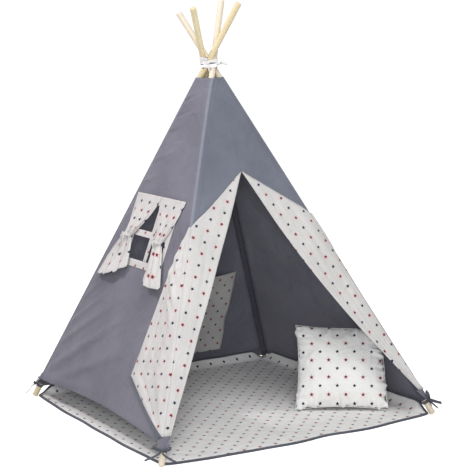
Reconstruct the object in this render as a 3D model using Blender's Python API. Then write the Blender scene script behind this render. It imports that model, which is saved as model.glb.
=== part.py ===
"""Play teepee with four poles, a cotton cover, a padded mat and a cushion.

Metres, +Z up. The floor is z = 0, the door faces -Y and the window faces -X.
The poles cross at the crown, where a strip of cloth is wound round them.
"""

from math import atan2, ceil, cos, exp, log1p, pi, radians, sin, sqrt, tan

import bmesh
import bpy
from mathutils import Matrix, Vector

# Poles
POLE_DIAMETER = 0.024
POLE_LENGTH = 1.92
FRONT_LEFT_FOOT = (-0.592, -0.577)
FRONT_RIGHT_FOOT = (0.646, -0.609)
REAR_RIGHT_FOOT = (0.592, 0.594)
REAR_LEFT_FOOT = (-0.578, 0.602)
CROWN_CENTRE = (-0.017, -0.002)
CROWN_HEIGHT = 1.43
CROWN_PLAY = 0.0008
FOOT_WEAR = 0.003
POLE_SIDES = 16

# Cloth and clearances
CLOTH = 0.0012
GAP = 0.0004
LAYER_GAP = 0.0008
SEAM = 0.0003
SLEEVE_CLEARANCE = 0.0012
PANEL_CELL = 0.11

# Cover
TOP_EDGE_HEIGHT = 1.372
HEM_HEIGHT = 0.072
RIGHT_HEM_SAG = 0.05
REAR_HEM_SAG = 0.034
SLEEVE_END_DROP = 0.02

# Door and its two flaps
DOOR_APEX_HEIGHT = 1.008
DOOR_FOOT_WIDTH = 0.022
FLAP_TOP_HEIGHT = 0.82
FLAP_FOOT_HEIGHT = 0.105
FLAP_CORNER_HEIGHT = 0.252
FLAP_CORNER_REACH = 0.30
FLAP_CORNER_SHARE = 0.7
FLAP_END_WIDTH = 0.006

# Window, seen on the left wall: its middle is given along Y
WINDOW_MIDDLE = -0.004
WINDOW_WIDTH = 0.26
WINDOW_BOTTOM = 0.655
WINDOW_TOP = 0.872
WINDOW_BORDER = 0.028
MUNTIN_WIDTH = 0.024
MUNTIN_HEIGHT = 0.757
MUNTIN_SHIFT = -0.018

# Curtains
CURTAIN_TOP = 0.906
CURTAIN_HALF_WIDTH = 0.19
CURTAIN_TIE_HEIGHT = 0.737
CURTAIN_SKIRT_DROP = 0.15
TIE_HALF_WIDTH = 0.021
TIE_DEPTH = 0.024
TIE_LIFT = 0.0045
TIE_TAPE = 0.0022
TIE_TAPE_HEIGHT = 0.013

# Pocket on the inside of the rear wall
POCKET_LEFT = 0.025
POCKET_WIDTH = 0.32
POCKET_BOTTOM = 0.078
POCKET_HEIGHT = 0.39
POCKET_FULLNESS = 0.022

# Mat
MAT_THICKNESS = 0.009
MAT_BINDING = 0.011
MAT_FOOT_CLEARANCE = 0.0004
MAT_FRONT_REACH = 0.034
MAT_LEFT_REACH = -0.012
MAT_RIGHT_REACH = -0.007
MAT_REAR_REACH = -0.007
MAT_CURL_WIDTH = 0.033
MAT_CURL_RISE = 0.034
MAT_CORNER_SHARE = 0.2
MAT_EDGE_STEPS = 12

# Cushion
CUSHION_WIDTH = 0.38
CUSHION_HEIGHT = 0.352
CUSHION_DEPTH = 0.12
CUSHION_DRAW_IN = 0.014
CUSHION_MIDDLE = (0.395, -0.322)
CUSHION_TURN = 36.0
CUSHION_LEAN = 24.0
CUSHION_GIVE = 0.02
CUSHION_WALL_CLEARANCE = 0.002
CUSHION_STEPS = 14

# Tapes: the winding at the crown and the bows at the feet
CROWN_TAPE_WIDTH = 0.0145
CROWN_TAPE_THICKNESS = 0.002
CROWN_TURNS = 2.6
CROWN_TURN_GAP = 0.0006
CROWN_CLEARANCE = 0.0008
KNOT_FACING = -38.0
KNOT_DEPTH = 0.015
KNOT_WIDTH = 0.02
KNOT_HEIGHT = 0.018
KNOT_TAIL = 0.036
KNOT_TAIL_DROOP = 0.008
FOOT_TAPE_WIDTH = 0.011
FOOT_TAPE_THICKNESS = 0.0016
FOOT_TIE_HEIGHT = 0.046
BOW_LOOP = 0.036
BOW_RISE = 0.2
BOW_BULGE = 0.011
BOW_TAIL_REACH = 0.062
BOW_TAIL_DROP = 0.04

# How far each side frame swings in when the teepee is folded flat, in degrees
FOLD_ANGLE = 20.0

POLE_RADIUS = POLE_DIAMETER / 2
FEET = {
    "front_left": FRONT_LEFT_FOOT,
    "front_right": FRONT_RIGHT_FOOT,
    "rear_right": REAR_RIGHT_FOOT,
    "rear_left": REAR_LEFT_FOOT,
}
SIDE = {
    "front_left": (-1, -1),
    "front_right": (1, -1),
    "rear_right": (1, 1),
    "rear_left": (-1, 1),
}
SLACK_SHARES = (0, 0.08, 0.22, 0.4, 0.6, 0.78, 0.92, 1)
UP = Vector((0, 0, 1))
SPREAD = max(
    abs(place[axis] - CROWN_CENTRE[axis]) for place in FEET.values() for axis in (0, 1)
)
WALL_LEAN = atan2(SPREAD, CROWN_HEIGHT)
CROWN_OFFSET = (POLE_DIAMETER + CROWN_PLAY) / (sqrt(2) * cos(WALL_LEAN))
SLEEVE_RADIUS = POLE_RADIUS + GAP + CLOTH
LAYER = (CLOTH + LAYER_GAP) / cos(WALL_LEAN)
WALL_OFFSET = (SLEEVE_RADIUS + SLEEVE_CLEARANCE) / cos(WALL_LEAN)


def pole_point(corner, z):
    """A point on a pole's centre line. The poles pass each other at the crown."""
    side_x, side_y = SIDE[corner]
    step = CROWN_OFFSET / sqrt(2)
    crossing = Vector(
        (CROWN_CENTRE[0] - side_y * step, CROWN_CENTRE[1] + side_x * step, CROWN_HEIGHT)
    )
    return Vector((*FEET[corner], 0)).lerp(crossing, z / CROWN_HEIGHT)


def pole_direction(corner):
    return (pole_point(corner, CROWN_HEIGHT) - pole_point(corner, 0)).normalized()


def layer_offset(layer):
    """How far a layer's inner face lies outside the poles' centre lines."""
    return WALL_OFFSET + layer * LAYER


def cover_corner(corner, z, layer=0):
    """Where the two walls beside a pole meet, each clear of both its poles."""
    round_the_poles = list(FEET)
    index = round_the_poles.index(corner)
    here = pole_point(corner, z)
    before = (here - pole_point(round_the_poles[index - 1], z)).normalized().cross(UP)
    after = (pole_point(round_the_poles[(index + 1) % 4], z) - here).normalized().cross(UP)
    return here + (before + after) * layer_offset(layer) / (1 + before.dot(after))


def wall_point(start, end, share, z, layer=0):
    return cover_corner(start, z, layer).lerp(cover_corner(end, z, layer), share)


def wall_point_at(start, end, axis, value, z, layer=0):
    """The point of a wall at one height whose X or Y has the given value."""
    low = cover_corner(start, z, layer)
    high = cover_corner(end, z, layer)
    return low.lerp(high, (value - low[axis]) / (high[axis] - low[axis]))


def wall_normal(start, end):
    """The outward normal at the middle of a wall."""
    across = wall_point(start, end, 1, HEM_HEIGHT) - wall_point(start, end, 0, HEM_HEIGHT)
    up = wall_point(start, end, 0.5, TOP_EDGE_HEIGHT) - wall_point(start, end, 0.5, HEM_HEIGHT)
    normal = across.cross(up).normalized()
    middle = wall_point(start, end, 0.5, HEM_HEIGHT)
    return normal if normal.dot(Vector((middle.x, middle.y, 0))) > 0 else -normal


# Materials


def material(name, colour, roughness):
    made = bpy.data.materials.new(name)
    made.use_nodes = True
    shader = made.node_tree.nodes["Principled BSDF"]
    shader.inputs["Base Color"].default_value = (*colour, 1)
    shader.inputs["Roughness"].default_value = roughness
    shader.inputs["Metallic"].default_value = 0
    return made


for old in list(bpy.data.objects):
    bpy.data.objects.remove(old, do_unlink=True)

PINE = material("pine", (0.72, 0.53, 0.30), 0.55)
GREY_COTTON = material("grey_cotton", (0.125, 0.125, 0.155), 0.9)
STAR_COTTON = material("star_cotton", (0.80, 0.79, 0.77), 0.9)
GREY_TAPE = material("grey_tape", (0.10, 0.11, 0.13), 0.85)


# Joints: an empty stands on each axis, and what moves about it is parented to it


def pivot(name, place, parent=None):
    empty = bpy.data.objects.new(name, None)
    empty.empty_display_size = 0.05
    bpy.context.collection.objects.link(empty)
    empty.parent = parent
    empty.location = place - (place_of(parent) if parent else Vector())
    return empty


def place_of(empty):
    place = Vector(empty.location)
    while empty.parent:
        empty = empty.parent
        place += Vector(empty.location)
    return place


def door_line(corner, other):
    """The top and the foot of the door's edge beside one front pole."""
    apex = wall_point(corner, other, 0.5, DOOR_APEX_HEIGHT, 1)
    foot = cover_corner(corner, HEM_HEIGHT, 1)
    toward = (cover_corner(other, HEM_HEIGHT, 1) - foot).normalized()
    return apex, foot + toward * DOOR_FOOT_WIDTH


CROWN_POINT = Vector((*CROWN_CENTRE, CROWN_HEIGHT))
CROWN = pivot("crown", CROWN_POINT)
LEFT_FRAME = pivot("left_frame", CROWN_POINT, CROWN)
RIGHT_FRAME = pivot("right_frame", CROWN_POINT, CROWN)
FRAME = {
    "front_left": LEFT_FRAME,
    "rear_left": LEFT_FRAME,
    "front_right": RIGHT_FRAME,
    "rear_right": RIGHT_FRAME,
}
OPPOSITE = {"front_left": "front_right", "front_right": "front_left"}
BEHIND = {"front_left": "rear_left", "front_right": "rear_right"}
FLAP_HINGE = {
    corner: pivot(f"flap_hinge_{corner}", door_line(corner, other)[0], FRAME[corner])
    for corner, other in OPPOSITE.items()
}
FLAP_WRAP = {
    corner: pivot(
        f"flap_wrap_{corner}", cover_corner(corner, FLAP_TOP_HEIGHT, 1), FLAP_HINGE[corner]
    )
    for corner in OPPOSITE
}


# Builders. Shapes are given in world positions and moved onto their pivot.


def finish(name, mesh_edit, finish_material, holder, smooth=False):
    bmesh.ops.recalc_face_normals(mesh_edit, faces=mesh_edit.faces[:])
    bmesh.ops.translate(mesh_edit, verts=mesh_edit.verts[:], vec=-place_of(holder))
    mesh = bpy.data.meshes.new(name)
    mesh_edit.to_mesh(mesh)
    mesh_edit.free()
    if smooth:
        mesh.shade_smooth()
        mesh.set_sharp_from_angle(angle=radians(40))
    mesh.materials.append(finish_material)
    made = bpy.data.objects.new(name, mesh)
    made.parent = holder
    bpy.context.collection.objects.link(made)
    return made


def sheet(name, rows, outward, finish_material, holder, holes=(), thickness=CLOTH):
    """Cloth through a grid of points. It gets its thickness on the outward side."""
    mesh_edit = bmesh.new()
    verts = [[mesh_edit.verts.new(point) for point in row] for row in rows]
    for low in range(len(rows) - 1):
        for left in range(len(rows[0]) - 1):
            if (low, left) not in holes:
                mesh_edit.faces.new(
                    (
                        verts[low][left],
                        verts[low][left + 1],
                        verts[low + 1][left + 1],
                        verts[low + 1][left],
                    )
                )
    mesh_edit.normal_update()
    middle = sum((face.normal * face.calc_area() for face in mesh_edit.faces), Vector())
    if middle.dot(outward) < 0:
        bmesh.ops.reverse_faces(mesh_edit, faces=mesh_edit.faces[:])
    made = bpy.data.meshes.new(name)
    bmesh.ops.translate(mesh_edit, verts=mesh_edit.verts[:], vec=-place_of(holder))
    mesh_edit.to_mesh(made)
    mesh_edit.free()
    made.materials.append(finish_material)
    cloth = bpy.data.objects.new(name, made)
    cloth.parent = holder
    bpy.context.collection.objects.link(cloth)
    wall = cloth.modifiers.new("thickness", "SOLIDIFY")
    wall.thickness = thickness
    wall.offset = 1
    wall.use_even_offset = True
    return cloth


def loft(name, rings, finish_material, holder, smooth=True):
    """A closed body through rings of points, with flat ends."""
    mesh_edit = bmesh.new()
    loops = [[mesh_edit.verts.new(point) for point in ring] for ring in rings]
    count = len(rings[0])
    for near, far in zip(loops, loops[1:]):
        for index in range(count):
            after = (index + 1) % count
            mesh_edit.faces.new((near[index], near[after], far[after], far[index]))
    mesh_edit.faces.new(loops[0])
    mesh_edit.faces.new(list(reversed(loops[-1])))
    return finish(name, mesh_edit, finish_material, holder, smooth)


def hoop(name, inner, thickness, finish_material, holder):
    """A closed ring of tape. Each inner row is (points of one edge, their outward normals)."""
    mesh_edit = bmesh.new()
    walls = []
    for points, normals in inner:
        near = [mesh_edit.verts.new(point) for point in points]
        far = [
            mesh_edit.verts.new(point + normal * thickness)
            for point, normal in zip(points, normals)
        ]
        walls.append((near, far))
    (low_in, low_out), (high_in, high_out) = walls
    count = len(low_in)
    for index in range(count):
        after = (index + 1) % count
        for first, second in (
            (low_in, high_in),
            (high_in, high_out),
            (high_out, low_out),
            (low_out, low_in),
        ):
            mesh_edit.faces.new((first[index], first[after], second[after], second[index]))
    return finish(name, mesh_edit, finish_material, holder, True)


def frame_round(direction):
    """Two unit vectors square to a direction and to each other."""
    side = direction.cross(UP).normalized()
    return side, side.cross(direction)


def circle(centre, direction, radius, sides):
    side, rise = frame_round(direction)
    return [
        centre + side * (radius * cos(2 * pi * step / sides)) + rise * (radius * sin(2 * pi * step / sides))
        for step in range(sides)
    ]


# Poles: straight pine dowels with rounded edges, worn flat where they stand


def pole_end():
    """How high the middle of a pole's foot lies, so that only its low rim is worn flat."""
    lean = max(pole_direction(corner).angle(UP) for corner in FEET)
    return POLE_RADIUS * sin(lean) - FOOT_WEAR


def add_pole(corner):
    direction = pole_direction(corner)
    foot = pole_point(corner, pole_end())
    edge = POLE_RADIUS * 0.25
    stations = (
        (0, POLE_RADIUS - edge),
        (edge, POLE_RADIUS),
        (POLE_LENGTH - edge, POLE_RADIUS),
        (POLE_LENGTH, POLE_RADIUS - edge),
    )
    rings = [
        circle(foot + direction * along, direction, radius, POLE_SIDES)
        for along, radius in stations
    ]
    made = loft(f"pole_{corner}", rings, PINE, FRAME[corner])
    mesh_edit = bmesh.new()
    mesh_edit.from_mesh(made.data)
    floor = -place_of(FRAME[corner])
    bmesh.ops.bisect_plane(
        mesh_edit,
        geom=mesh_edit.verts[:] + mesh_edit.edges[:] + mesh_edit.faces[:],
        plane_co=floor,
        plane_no=-UP,
        clear_outer=True,
    )
    bmesh.ops.holes_fill(mesh_edit, edges=[edge for edge in mesh_edit.edges if edge.is_boundary])
    bmesh.ops.recalc_face_normals(mesh_edit, faces=mesh_edit.faces[:])
    mesh_edit.to_mesh(made.data)
    mesh_edit.free()


# Sleeves: a channel sewn into each corner of the cover, which the pole is pushed through


def add_sleeve(corner):
    direction = pole_direction(corner)
    low = pole_point(corner, HEM_HEIGHT + GAP)
    high = pole_point(corner, TOP_EDGE_HEIGHT - SLEEVE_END_DROP)
    edges = []
    for centre in (low, high):
        ring = circle(centre, direction, POLE_RADIUS + GAP, POLE_SIDES)
        edges.append((ring, [(point - centre).normalized() for point in ring]))
    hoop(f"sleeve_{corner}", edges, CLOTH, GREY_COTTON, FRAME[corner])


# Walls: four cotton panels, sewn together along the poles


def seam_point(start, end, share, z, layer=0):
    """A wall point that stops a seam's width short of the wall's two ends."""
    low = cover_corner(start, z, layer)
    high = cover_corner(end, z, layer)
    along = (high - low).normalized()
    return (low + along * SEAM).lerp(high - along * SEAM, share)


def levels_between(*marks):
    """Heights from the first mark to the last, no further apart than a cell.

    Close to the top edge, where the poles run together, they lie twice as close.
    """
    if marks[-1] == TOP_EDGE_HEIGHT:
        neck = [TOP_EDGE_HEIGHT - PANEL_CELL * share for share in (1, 0.5, 0.25)]
        marks = (*marks[:-1], *neck, TOP_EDGE_HEIGHT)
    heights = [marks[0]]
    for low, high in zip(marks, marks[1:]):
        steps = ceil(abs(high - low) / PANEL_CELL)
        heights += [low + (high - low) * (step + 1) / steps for step in range(steps)]
    return heights


def add_left_wall():
    """The window wall. Its columns follow the window's sides."""
    start, end = "front_left", "rear_left"
    low_side = WINDOW_MIDDLE - WINDOW_WIDTH / 2
    high_side = WINDOW_MIDDLE + WINDOW_WIDTH / 2
    below = levels_between(HEM_HEIGHT, WINDOW_BOTTOM)
    heights = below + [WINDOW_TOP] + levels_between(WINDOW_TOP, TOP_EDGE_HEIGHT)[1:]
    rows = []
    for z in heights:
        beside = min(max(z, WINDOW_BOTTOM), WINDOW_TOP)
        low = cover_corner(start, beside)
        high = cover_corner(end, beside)
        shares = [(side - low.y) / (high.y - low.y) for side in (low_side, high_side)]
        columns = [0, shares[0] / 2, *shares, (1 + shares[1]) / 2, 1]
        rows.append([seam_point(start, end, share, z) for share in columns])
    sheet(
        "left_wall",
        rows,
        wall_normal(start, end),
        GREY_COTTON,
        LEFT_FRAME,
        holes={(len(below) - 1, 2)},
    )


def slack_hem(start, end, shares, sag):
    """The lower edge of a wall that sags between its poles."""
    return [
        seam_point(start, end, share, HEM_HEIGHT - SEAM - sag * sqrt(sin(pi * share)))
        for share in shares
    ]


def add_right_wall():
    start, end = "front_right", "rear_right"
    rows = [
        [seam_point(start, end, share, z) for share in SLACK_SHARES]
        for z in levels_between(HEM_HEIGHT, TOP_EDGE_HEIGHT)
    ]
    rows.insert(0, slack_hem(start, end, SLACK_SHARES, RIGHT_HEM_SAG))
    sheet("right_wall", rows, wall_normal(start, end), GREY_COTTON, RIGHT_FRAME)


def door_edge(corner, z, layer=0):
    """Where the door's edge beside one front pole lies at a height."""
    other = OPPOSITE[corner]
    apex, foot = door_line(corner, other)
    share = (z - apex.z) / (foot.z - apex.z)
    return wall_point_at(corner, other, 0, apex.x + (foot.x - apex.x) * share, z, layer)


def add_front_panel(corner):
    """Half of the front wall, cut back below the apex to the door's edge."""
    other = OPPOSITE[corner]
    rows = []
    for z in levels_between(HEM_HEIGHT, DOOR_APEX_HEIGHT, TOP_EDGE_HEIGHT):
        near = seam_point(corner, other, 0, z)
        across = (seam_point(corner, other, 1, z) - near).normalized()
        edge = wall_point(corner, other, 0.5, z)
        if z < DOOR_APEX_HEIGHT:
            edge = door_edge(corner, z)
        edge -= across * SEAM
        rows.append([near.lerp(edge, column / 3) for column in range(4)])
    sheet(
        f"front_wall_{corner.split('_')[1]}",
        rows,
        wall_normal(corner, other),
        GREY_COTTON,
        FRAME[corner],
    )


def add_rear_panel(corner):
    other = {"rear_left": "rear_right", "rear_right": "rear_left"}[corner]
    rows = []
    for z in levels_between(HEM_HEIGHT, TOP_EDGE_HEIGHT):
        near = seam_point(corner, other, 0, z)
        across = (seam_point(corner, other, 1, z) - near).normalized()
        middle = wall_point(corner, other, 0.5, z) - across * SEAM
        rows.append([near.lerp(middle, column / 4) for column in range(5)])
    hem = slack_hem(corner, other, [column / 8 for column in range(5)], REAR_HEM_SAG)
    hem[-1] -= across * SEAM
    rows.insert(0, hem)
    sheet(
        f"rear_wall_{corner.split('_')[1]}",
        rows,
        wall_normal(corner, other),
        GREY_COTTON,
        FRAME[corner],
    )


# Door flaps: each is folded back over the front wall, and on round the pole


def add_flap(corner):
    other = OPPOSITE[corner]
    behind = BEHIND[corner]
    side_name = corner.split("_")[1]
    toward_door = SIDE[other][0]
    rows = []
    for step in range(11):
        share = step / 10
        door_z = DOOR_APEX_HEIGHT + (FLAP_FOOT_HEIGHT - DOOR_APEX_HEIGHT) * share
        pole_z = FLAP_TOP_HEIGHT + (FLAP_FOOT_HEIGHT - FLAP_TOP_HEIGHT) * share
        door_x = door_edge(corner, door_z).x
        pole_x = cover_corner(corner, pole_z, 1).x + toward_door * SEAM
        rows.append(
            [
                wall_point_at(
                    corner,
                    other,
                    0,
                    door_x + (pole_x - door_x) * column / 4,
                    door_z + (pole_z - door_z) * column / 4,
                    1,
                )
                for column in range(5)
            ]
        )
    sheet(
        f"flap_{side_name}_front",
        rows,
        wall_normal(corner, other),
        STAR_COTTON,
        FLAP_HINGE[corner],
    )

    tip_y = cover_corner(corner, FLAP_CORNER_HEIGHT, 1).y + FLAP_CORNER_REACH
    rows = []
    for step in range(11):
        share = step / 10
        pole_z = FLAP_TOP_HEIGHT + (FLAP_FOOT_HEIGHT - FLAP_TOP_HEIGHT) * share
        pole_y = cover_corner(corner, pole_z, 1).y + SEAM
        if share < FLAP_CORNER_SHARE:
            along = share / FLAP_CORNER_SHARE
            top_y = cover_corner(corner, FLAP_TOP_HEIGHT, 1).y + FLAP_END_WIDTH
            far_y = top_y + (tip_y - top_y) * along
            far_z = FLAP_TOP_HEIGHT + (FLAP_CORNER_HEIGHT - FLAP_TOP_HEIGHT) * along
        else:
            along = (share - FLAP_CORNER_SHARE) / (1 - FLAP_CORNER_SHARE)
            foot_y = cover_corner(corner, FLAP_FOOT_HEIGHT, 1).y + FLAP_END_WIDTH
            far_y = tip_y + (foot_y - tip_y) * along
            far_z = FLAP_CORNER_HEIGHT + (FLAP_FOOT_HEIGHT - FLAP_CORNER_HEIGHT) * along
        rows.append(
            [
                wall_point_at(
                    corner,
                    behind,
                    1,
                    pole_y + (far_y - pole_y) * column / 4,
                    pole_z + (far_z - pole_z) * column / 4,
                    1,
                )
                for column in range(5)
            ]
        )
    sheet(
        f"flap_{side_name}_side",
        rows,
        wall_normal(corner, behind),
        STAR_COTTON,
        FLAP_WRAP[corner],
    )


# Window: strips of star cotton sewn round the opening, and a cross in it


def window_point(y, z, layer=1):
    return wall_point_at("front_left", "rear_left", 1, y, z, layer)


def add_strip(name, low_y, high_y, low_z, high_z):
    rows = [[window_point(y, z) for y in (low_y, high_y)] for z in (low_z, high_z)]
    sheet(name, rows, wall_normal("front_left", "rear_left"), STAR_COTTON, LEFT_FRAME)


def add_window():
    low_y = WINDOW_MIDDLE - WINDOW_WIDTH / 2
    high_y = WINDOW_MIDDLE + WINDOW_WIDTH / 2
    muntin_low = WINDOW_MIDDLE + MUNTIN_SHIFT - MUNTIN_WIDTH / 2
    muntin_high = muntin_low + MUNTIN_WIDTH
    bar_low = MUNTIN_HEIGHT - MUNTIN_WIDTH / 2
    bar_high = bar_low + MUNTIN_WIDTH
    outer_low = WINDOW_BOTTOM - WINDOW_BORDER
    outer_high = WINDOW_TOP + WINDOW_BORDER
    add_strip("window_border_top", low_y, high_y, WINDOW_TOP + SEAM, outer_high)
    add_strip("window_border_bottom", low_y, high_y, outer_low, WINDOW_BOTTOM - SEAM)
    add_strip("window_border_front", low_y - WINDOW_BORDER, low_y - SEAM, outer_low, outer_high)
    add_strip("window_border_rear", high_y + SEAM, high_y + WINDOW_BORDER, outer_low, outer_high)
    add_strip("muntin_upright", muntin_low, muntin_high, WINDOW_BOTTOM, WINDOW_TOP)
    add_strip("muntin_front", low_y, muntin_low - SEAM, bar_low, bar_high)
    add_strip("muntin_rear", muntin_high + SEAM, high_y, bar_low, bar_high)


# Curtains: each hangs from its top edge, is gathered by a tape and flares below it


def curtain_section(middle_y, z, half_width, depth, lift, ripple, folds=4, back_steps=6):
    """One level of a curtain: a flat back and a front with soft folds."""
    normal = wall_normal("front_left", "rear_left")
    front_steps = 4 * folds

    def place(share, out):
        return window_point(middle_y + half_width * (2 * share - 1), z, 2) + normal * (lift + out)

    points = [place(step / back_steps, 0) for step in range(back_steps + 1)]
    for step in range(front_steps + 1):
        share = 1 - step / front_steps
        edge = min(1.0, 5 * share + 0.12, 5 * (1 - share) + 0.12)
        wave = 1 - ripple * (0.5 - 0.5 * cos(2 * pi * folds * share))
        points.append(place(share, CLOTH + depth * edge * wave))
    return points


def curtain_levels(direction):
    """Rows of (middle, height, half width, depth, lift, ripple) from top to hem."""
    header_middle = WINDOW_MIDDLE + direction * CURTAIN_HALF_WIDTH / 2
    half = CURTAIN_HALF_WIDTH / 2 - GAP
    shift = 0.155 if direction > 0 else 0.095
    tie_middle = WINDOW_MIDDLE + direction * shift
    skirt_middle = WINDOW_MIDDLE + direction * (0.205 if direction > 0 else 0.145)
    drop = CURTAIN_TOP - CURTAIN_TIE_HEIGHT
    levels = []
    for share in (0, 0.2, 0.45, 0.7, 0.87):
        draw = share**1.6
        levels.append(
            (
                header_middle + (tie_middle - header_middle) * draw,
                CURTAIN_TOP - drop * share,
                half + (TIE_HALF_WIDTH - half) * draw,
                0.003 + (TIE_DEPTH - 0.003) * draw,
                TIE_LIFT * draw,
                0.3 + 0.35 * share,
            )
        )
    tape = TIE_TAPE_HEIGHT / 2
    for z in (CURTAIN_TIE_HEIGHT + tape, CURTAIN_TIE_HEIGHT - tape):
        levels.append((tie_middle, z, TIE_HALF_WIDTH, TIE_DEPTH, TIE_LIFT, 0.3))
    for share in (0.2, 0.5, 0.8, 1):
        flare = share**0.75
        levels.append(
            (
                tie_middle + (skirt_middle - tie_middle) * share,
                CURTAIN_TIE_HEIGHT - tape - CURTAIN_SKIRT_DROP * share,
                TIE_HALF_WIDTH + 0.062 * flare,
                TIE_DEPTH + 0.012 * flare,
                TIE_LIFT * (1 - share),
                0.3 + 0.45 * share,
            )
        )
    return levels


def add_curtain(name, direction):
    levels = curtain_levels(direction)
    loft(
        f"curtain_{name}",
        [curtain_section(*level) for level in levels],
        STAR_COTTON,
        LEFT_FRAME,
    )
    normal = wall_normal("front_left", "rear_left")
    middle_y = levels[5][0]
    edges = []
    tape = TIE_TAPE_HEIGHT / 2 - SEAM
    for z in (CURTAIN_TIE_HEIGHT - tape, CURTAIN_TIE_HEIGHT + tape):
        half = TIE_HALF_WIDTH + GAP
        depth = (TIE_DEPTH + CLOTH) / 2 + GAP
        points = []
        normals = []
        for step in range(24):
            turn = 2 * pi * step / 24
            wide = abs(cos(turn)) ** 0.35 * (1 if cos(turn) > 0 else -1)
            deep = abs(sin(turn)) ** 0.35 * (1 if sin(turn) > 0 else -1)
            size = max(abs(wide), abs(deep))
            out = TIE_LIFT + (TIE_DEPTH + CLOTH) / 2 + depth * deep / size
            points.append(window_point(middle_y + half * wide / size, z, 2) + normal * out)
            normals.append((Vector((0, 1, 0)) * cos(turn) + normal * sin(turn)).normalized())
        edges.append((points, normals))
    hoop(f"curtain_tie_{name}", edges, TIE_TAPE, STAR_COTTON, LEFT_FRAME)


# Pocket: a panel sewn inside the rear wall along its sides and bottom


def add_pocket():
    inward = -wall_normal("rear_right", "rear_left")
    rows = []
    for row in range(7):
        rise = row / 6
        z = POCKET_BOTTOM + POCKET_HEIGHT * rise
        points = []
        for column in range(9):
            share = column / 8
            x = POCKET_LEFT + POCKET_WIDTH * share
            belly = POCKET_FULLNESS * (sin(pi * share) ** 0.7) * rise**0.8
            base = wall_point_at("rear_left", "rear_right", 0, x, z)
            points.append(base + inward * (GAP + belly))
        rows.append(points)
    sheet("rear_pocket", rows, inward, STAR_COTTON, RIGHT_FRAME)


# Mat: a padded square with a grey binding. Its right and rear edges curl up at the walls.


def mat_edge(start, end, reach, share, inset):
    """One side of the mat, bowed towards its reach beyond the line of the poles' feet."""
    first = Vector((*FEET[start], 0))
    last = Vector((*FEET[end], 0))
    along = (last - first).normalized()
    outward = along.cross(UP)
    lean = max(pole_direction(corner).angle(UP) for corner in FEET)
    reach_in = POLE_RADIUS / cos(lean) + MAT_THICKNESS * tan(lean) + MAT_FOOT_CLEARANCE
    back = reach_in / sqrt(2)
    bow = (4 * share * (1 - share)) ** 0.45
    line = (first + along * (back + inset)).lerp(last - along * (back + inset), share)
    return line + outward * ((reach + back) * bow - back - inset)


def away_from_corners(share):
    """Rises smoothly from 0 at the mat's corners to 1 a short way along."""
    rise = min(1, min(share, 1 - share) / MAT_CORNER_SHARE)
    return rise * rise * (3 - 2 * rise)


def mat_point(u, v, inset=0):
    """The mat's underside: u runs from left to right and v from front to rear."""
    front = mat_edge("front_left", "front_right", MAT_FRONT_REACH, u, inset)
    rear = mat_edge("rear_right", "rear_left", MAT_REAR_REACH, 1 - u, inset)
    left = mat_edge("rear_left", "front_left", MAT_LEFT_REACH, 1 - v, inset)
    right = mat_edge("front_right", "rear_right", MAT_RIGHT_REACH, v, inset)
    across = front.lerp(rear, v) + left.lerp(right, u)
    corners = [
        mat_edge(start, end, reach, 0, inset)
        for start, end, reach in (
            ("front_left", "front_right", MAT_FRONT_REACH),
            ("front_right", "rear_right", MAT_RIGHT_REACH),
            ("rear_left", "front_left", MAT_LEFT_REACH),
            ("rear_right", "rear_left", MAT_REAR_REACH),
        )
    ]
    between = corners[0].lerp(corners[1], u).lerp(corners[2].lerp(corners[3], u), v)
    point = across - between
    right_curl = max((u - 1) / MAT_CURL_WIDTH + 1, 0) ** 1.5 * away_from_corners(v)
    rear_curl = max((v - 1) / MAT_CURL_WIDTH + 1, 0) ** 1.5 * away_from_corners(u)
    point.z = MAT_CURL_RISE * max(right_curl, rear_curl)
    return point


def mat_steps(low, high):
    """Values from low to high, with a few more where an edge curls up."""
    count = round((high - low) * MAT_EDGE_STEPS)
    flat = min(high, 1 - MAT_CURL_WIDTH)
    values = [low + (flat - low) * step / count for step in range(count + 1)]
    if high > flat:
        values += [flat + (high - flat) * step / 3 for step in range(1, 4)]
    return values


def add_mat(name, side, holder):
    fold = (CROWN_CENTRE[0] - FRONT_LEFT_FOOT[0]) / (FRONT_RIGHT_FOOT[0] - FRONT_LEFT_FOOT[0])
    across = mat_steps(0, fold) if side < 0 else mat_steps(fold, 1)
    along = mat_steps(0, 1)
    part = Vector((side * SEAM, 0, 0))

    def place(u, v, inset):
        return mat_point(u, v, inset) + (part if u == fold else Vector())

    inset = MAT_BINDING + LAYER_GAP
    rows = [[place(u, v, inset) for u in across] for v in along]
    sheet(f"mat_{name}", rows, UP, STAR_COTTON, holder, thickness=MAT_THICKNESS)

    edge = [(u, 0) for u in across]
    edge += [(across[-1], v) for v in along[1:]] if side > 0 else []
    edge += [(u, 1) for u in reversed(across[:-1] if side > 0 else across)]
    edge += [(0, v) for v in reversed(along[1:-1])] if side < 0 else []
    if side < 0:
        start = len(edge) - len(along) + 2 - len(across)
        edge = edge[start:] + edge[:start]
    rings = []
    for u, v in edge:
        near = place(u, v, MAT_BINDING)
        far = place(u, v, 0)
        rise = UP * MAT_THICKNESS
        rings.append([near, far, far + rise, near + rise])
    loft(f"mat_binding_{name}", rings, GREY_TAPE, holder, smooth=False)


# Cushion: crowned, with its sides drawn in between the corners


def cushion_point(u, v, side):
    """u and v run from -1 to 1, and side is 1 on the front and -1 on the back."""
    across = CUSHION_WIDTH / 2 * u - CUSHION_DRAW_IN * u * (1 - v * v)
    rise = CUSHION_HEIGHT / 2 * v - CUSHION_DRAW_IN * v * (1 - u * u)
    crown = ((1 - u * u) * (1 - v * v)) ** 0.45
    return Vector((across, side * CUSHION_DEPTH / 2 * crown, rise))


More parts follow.
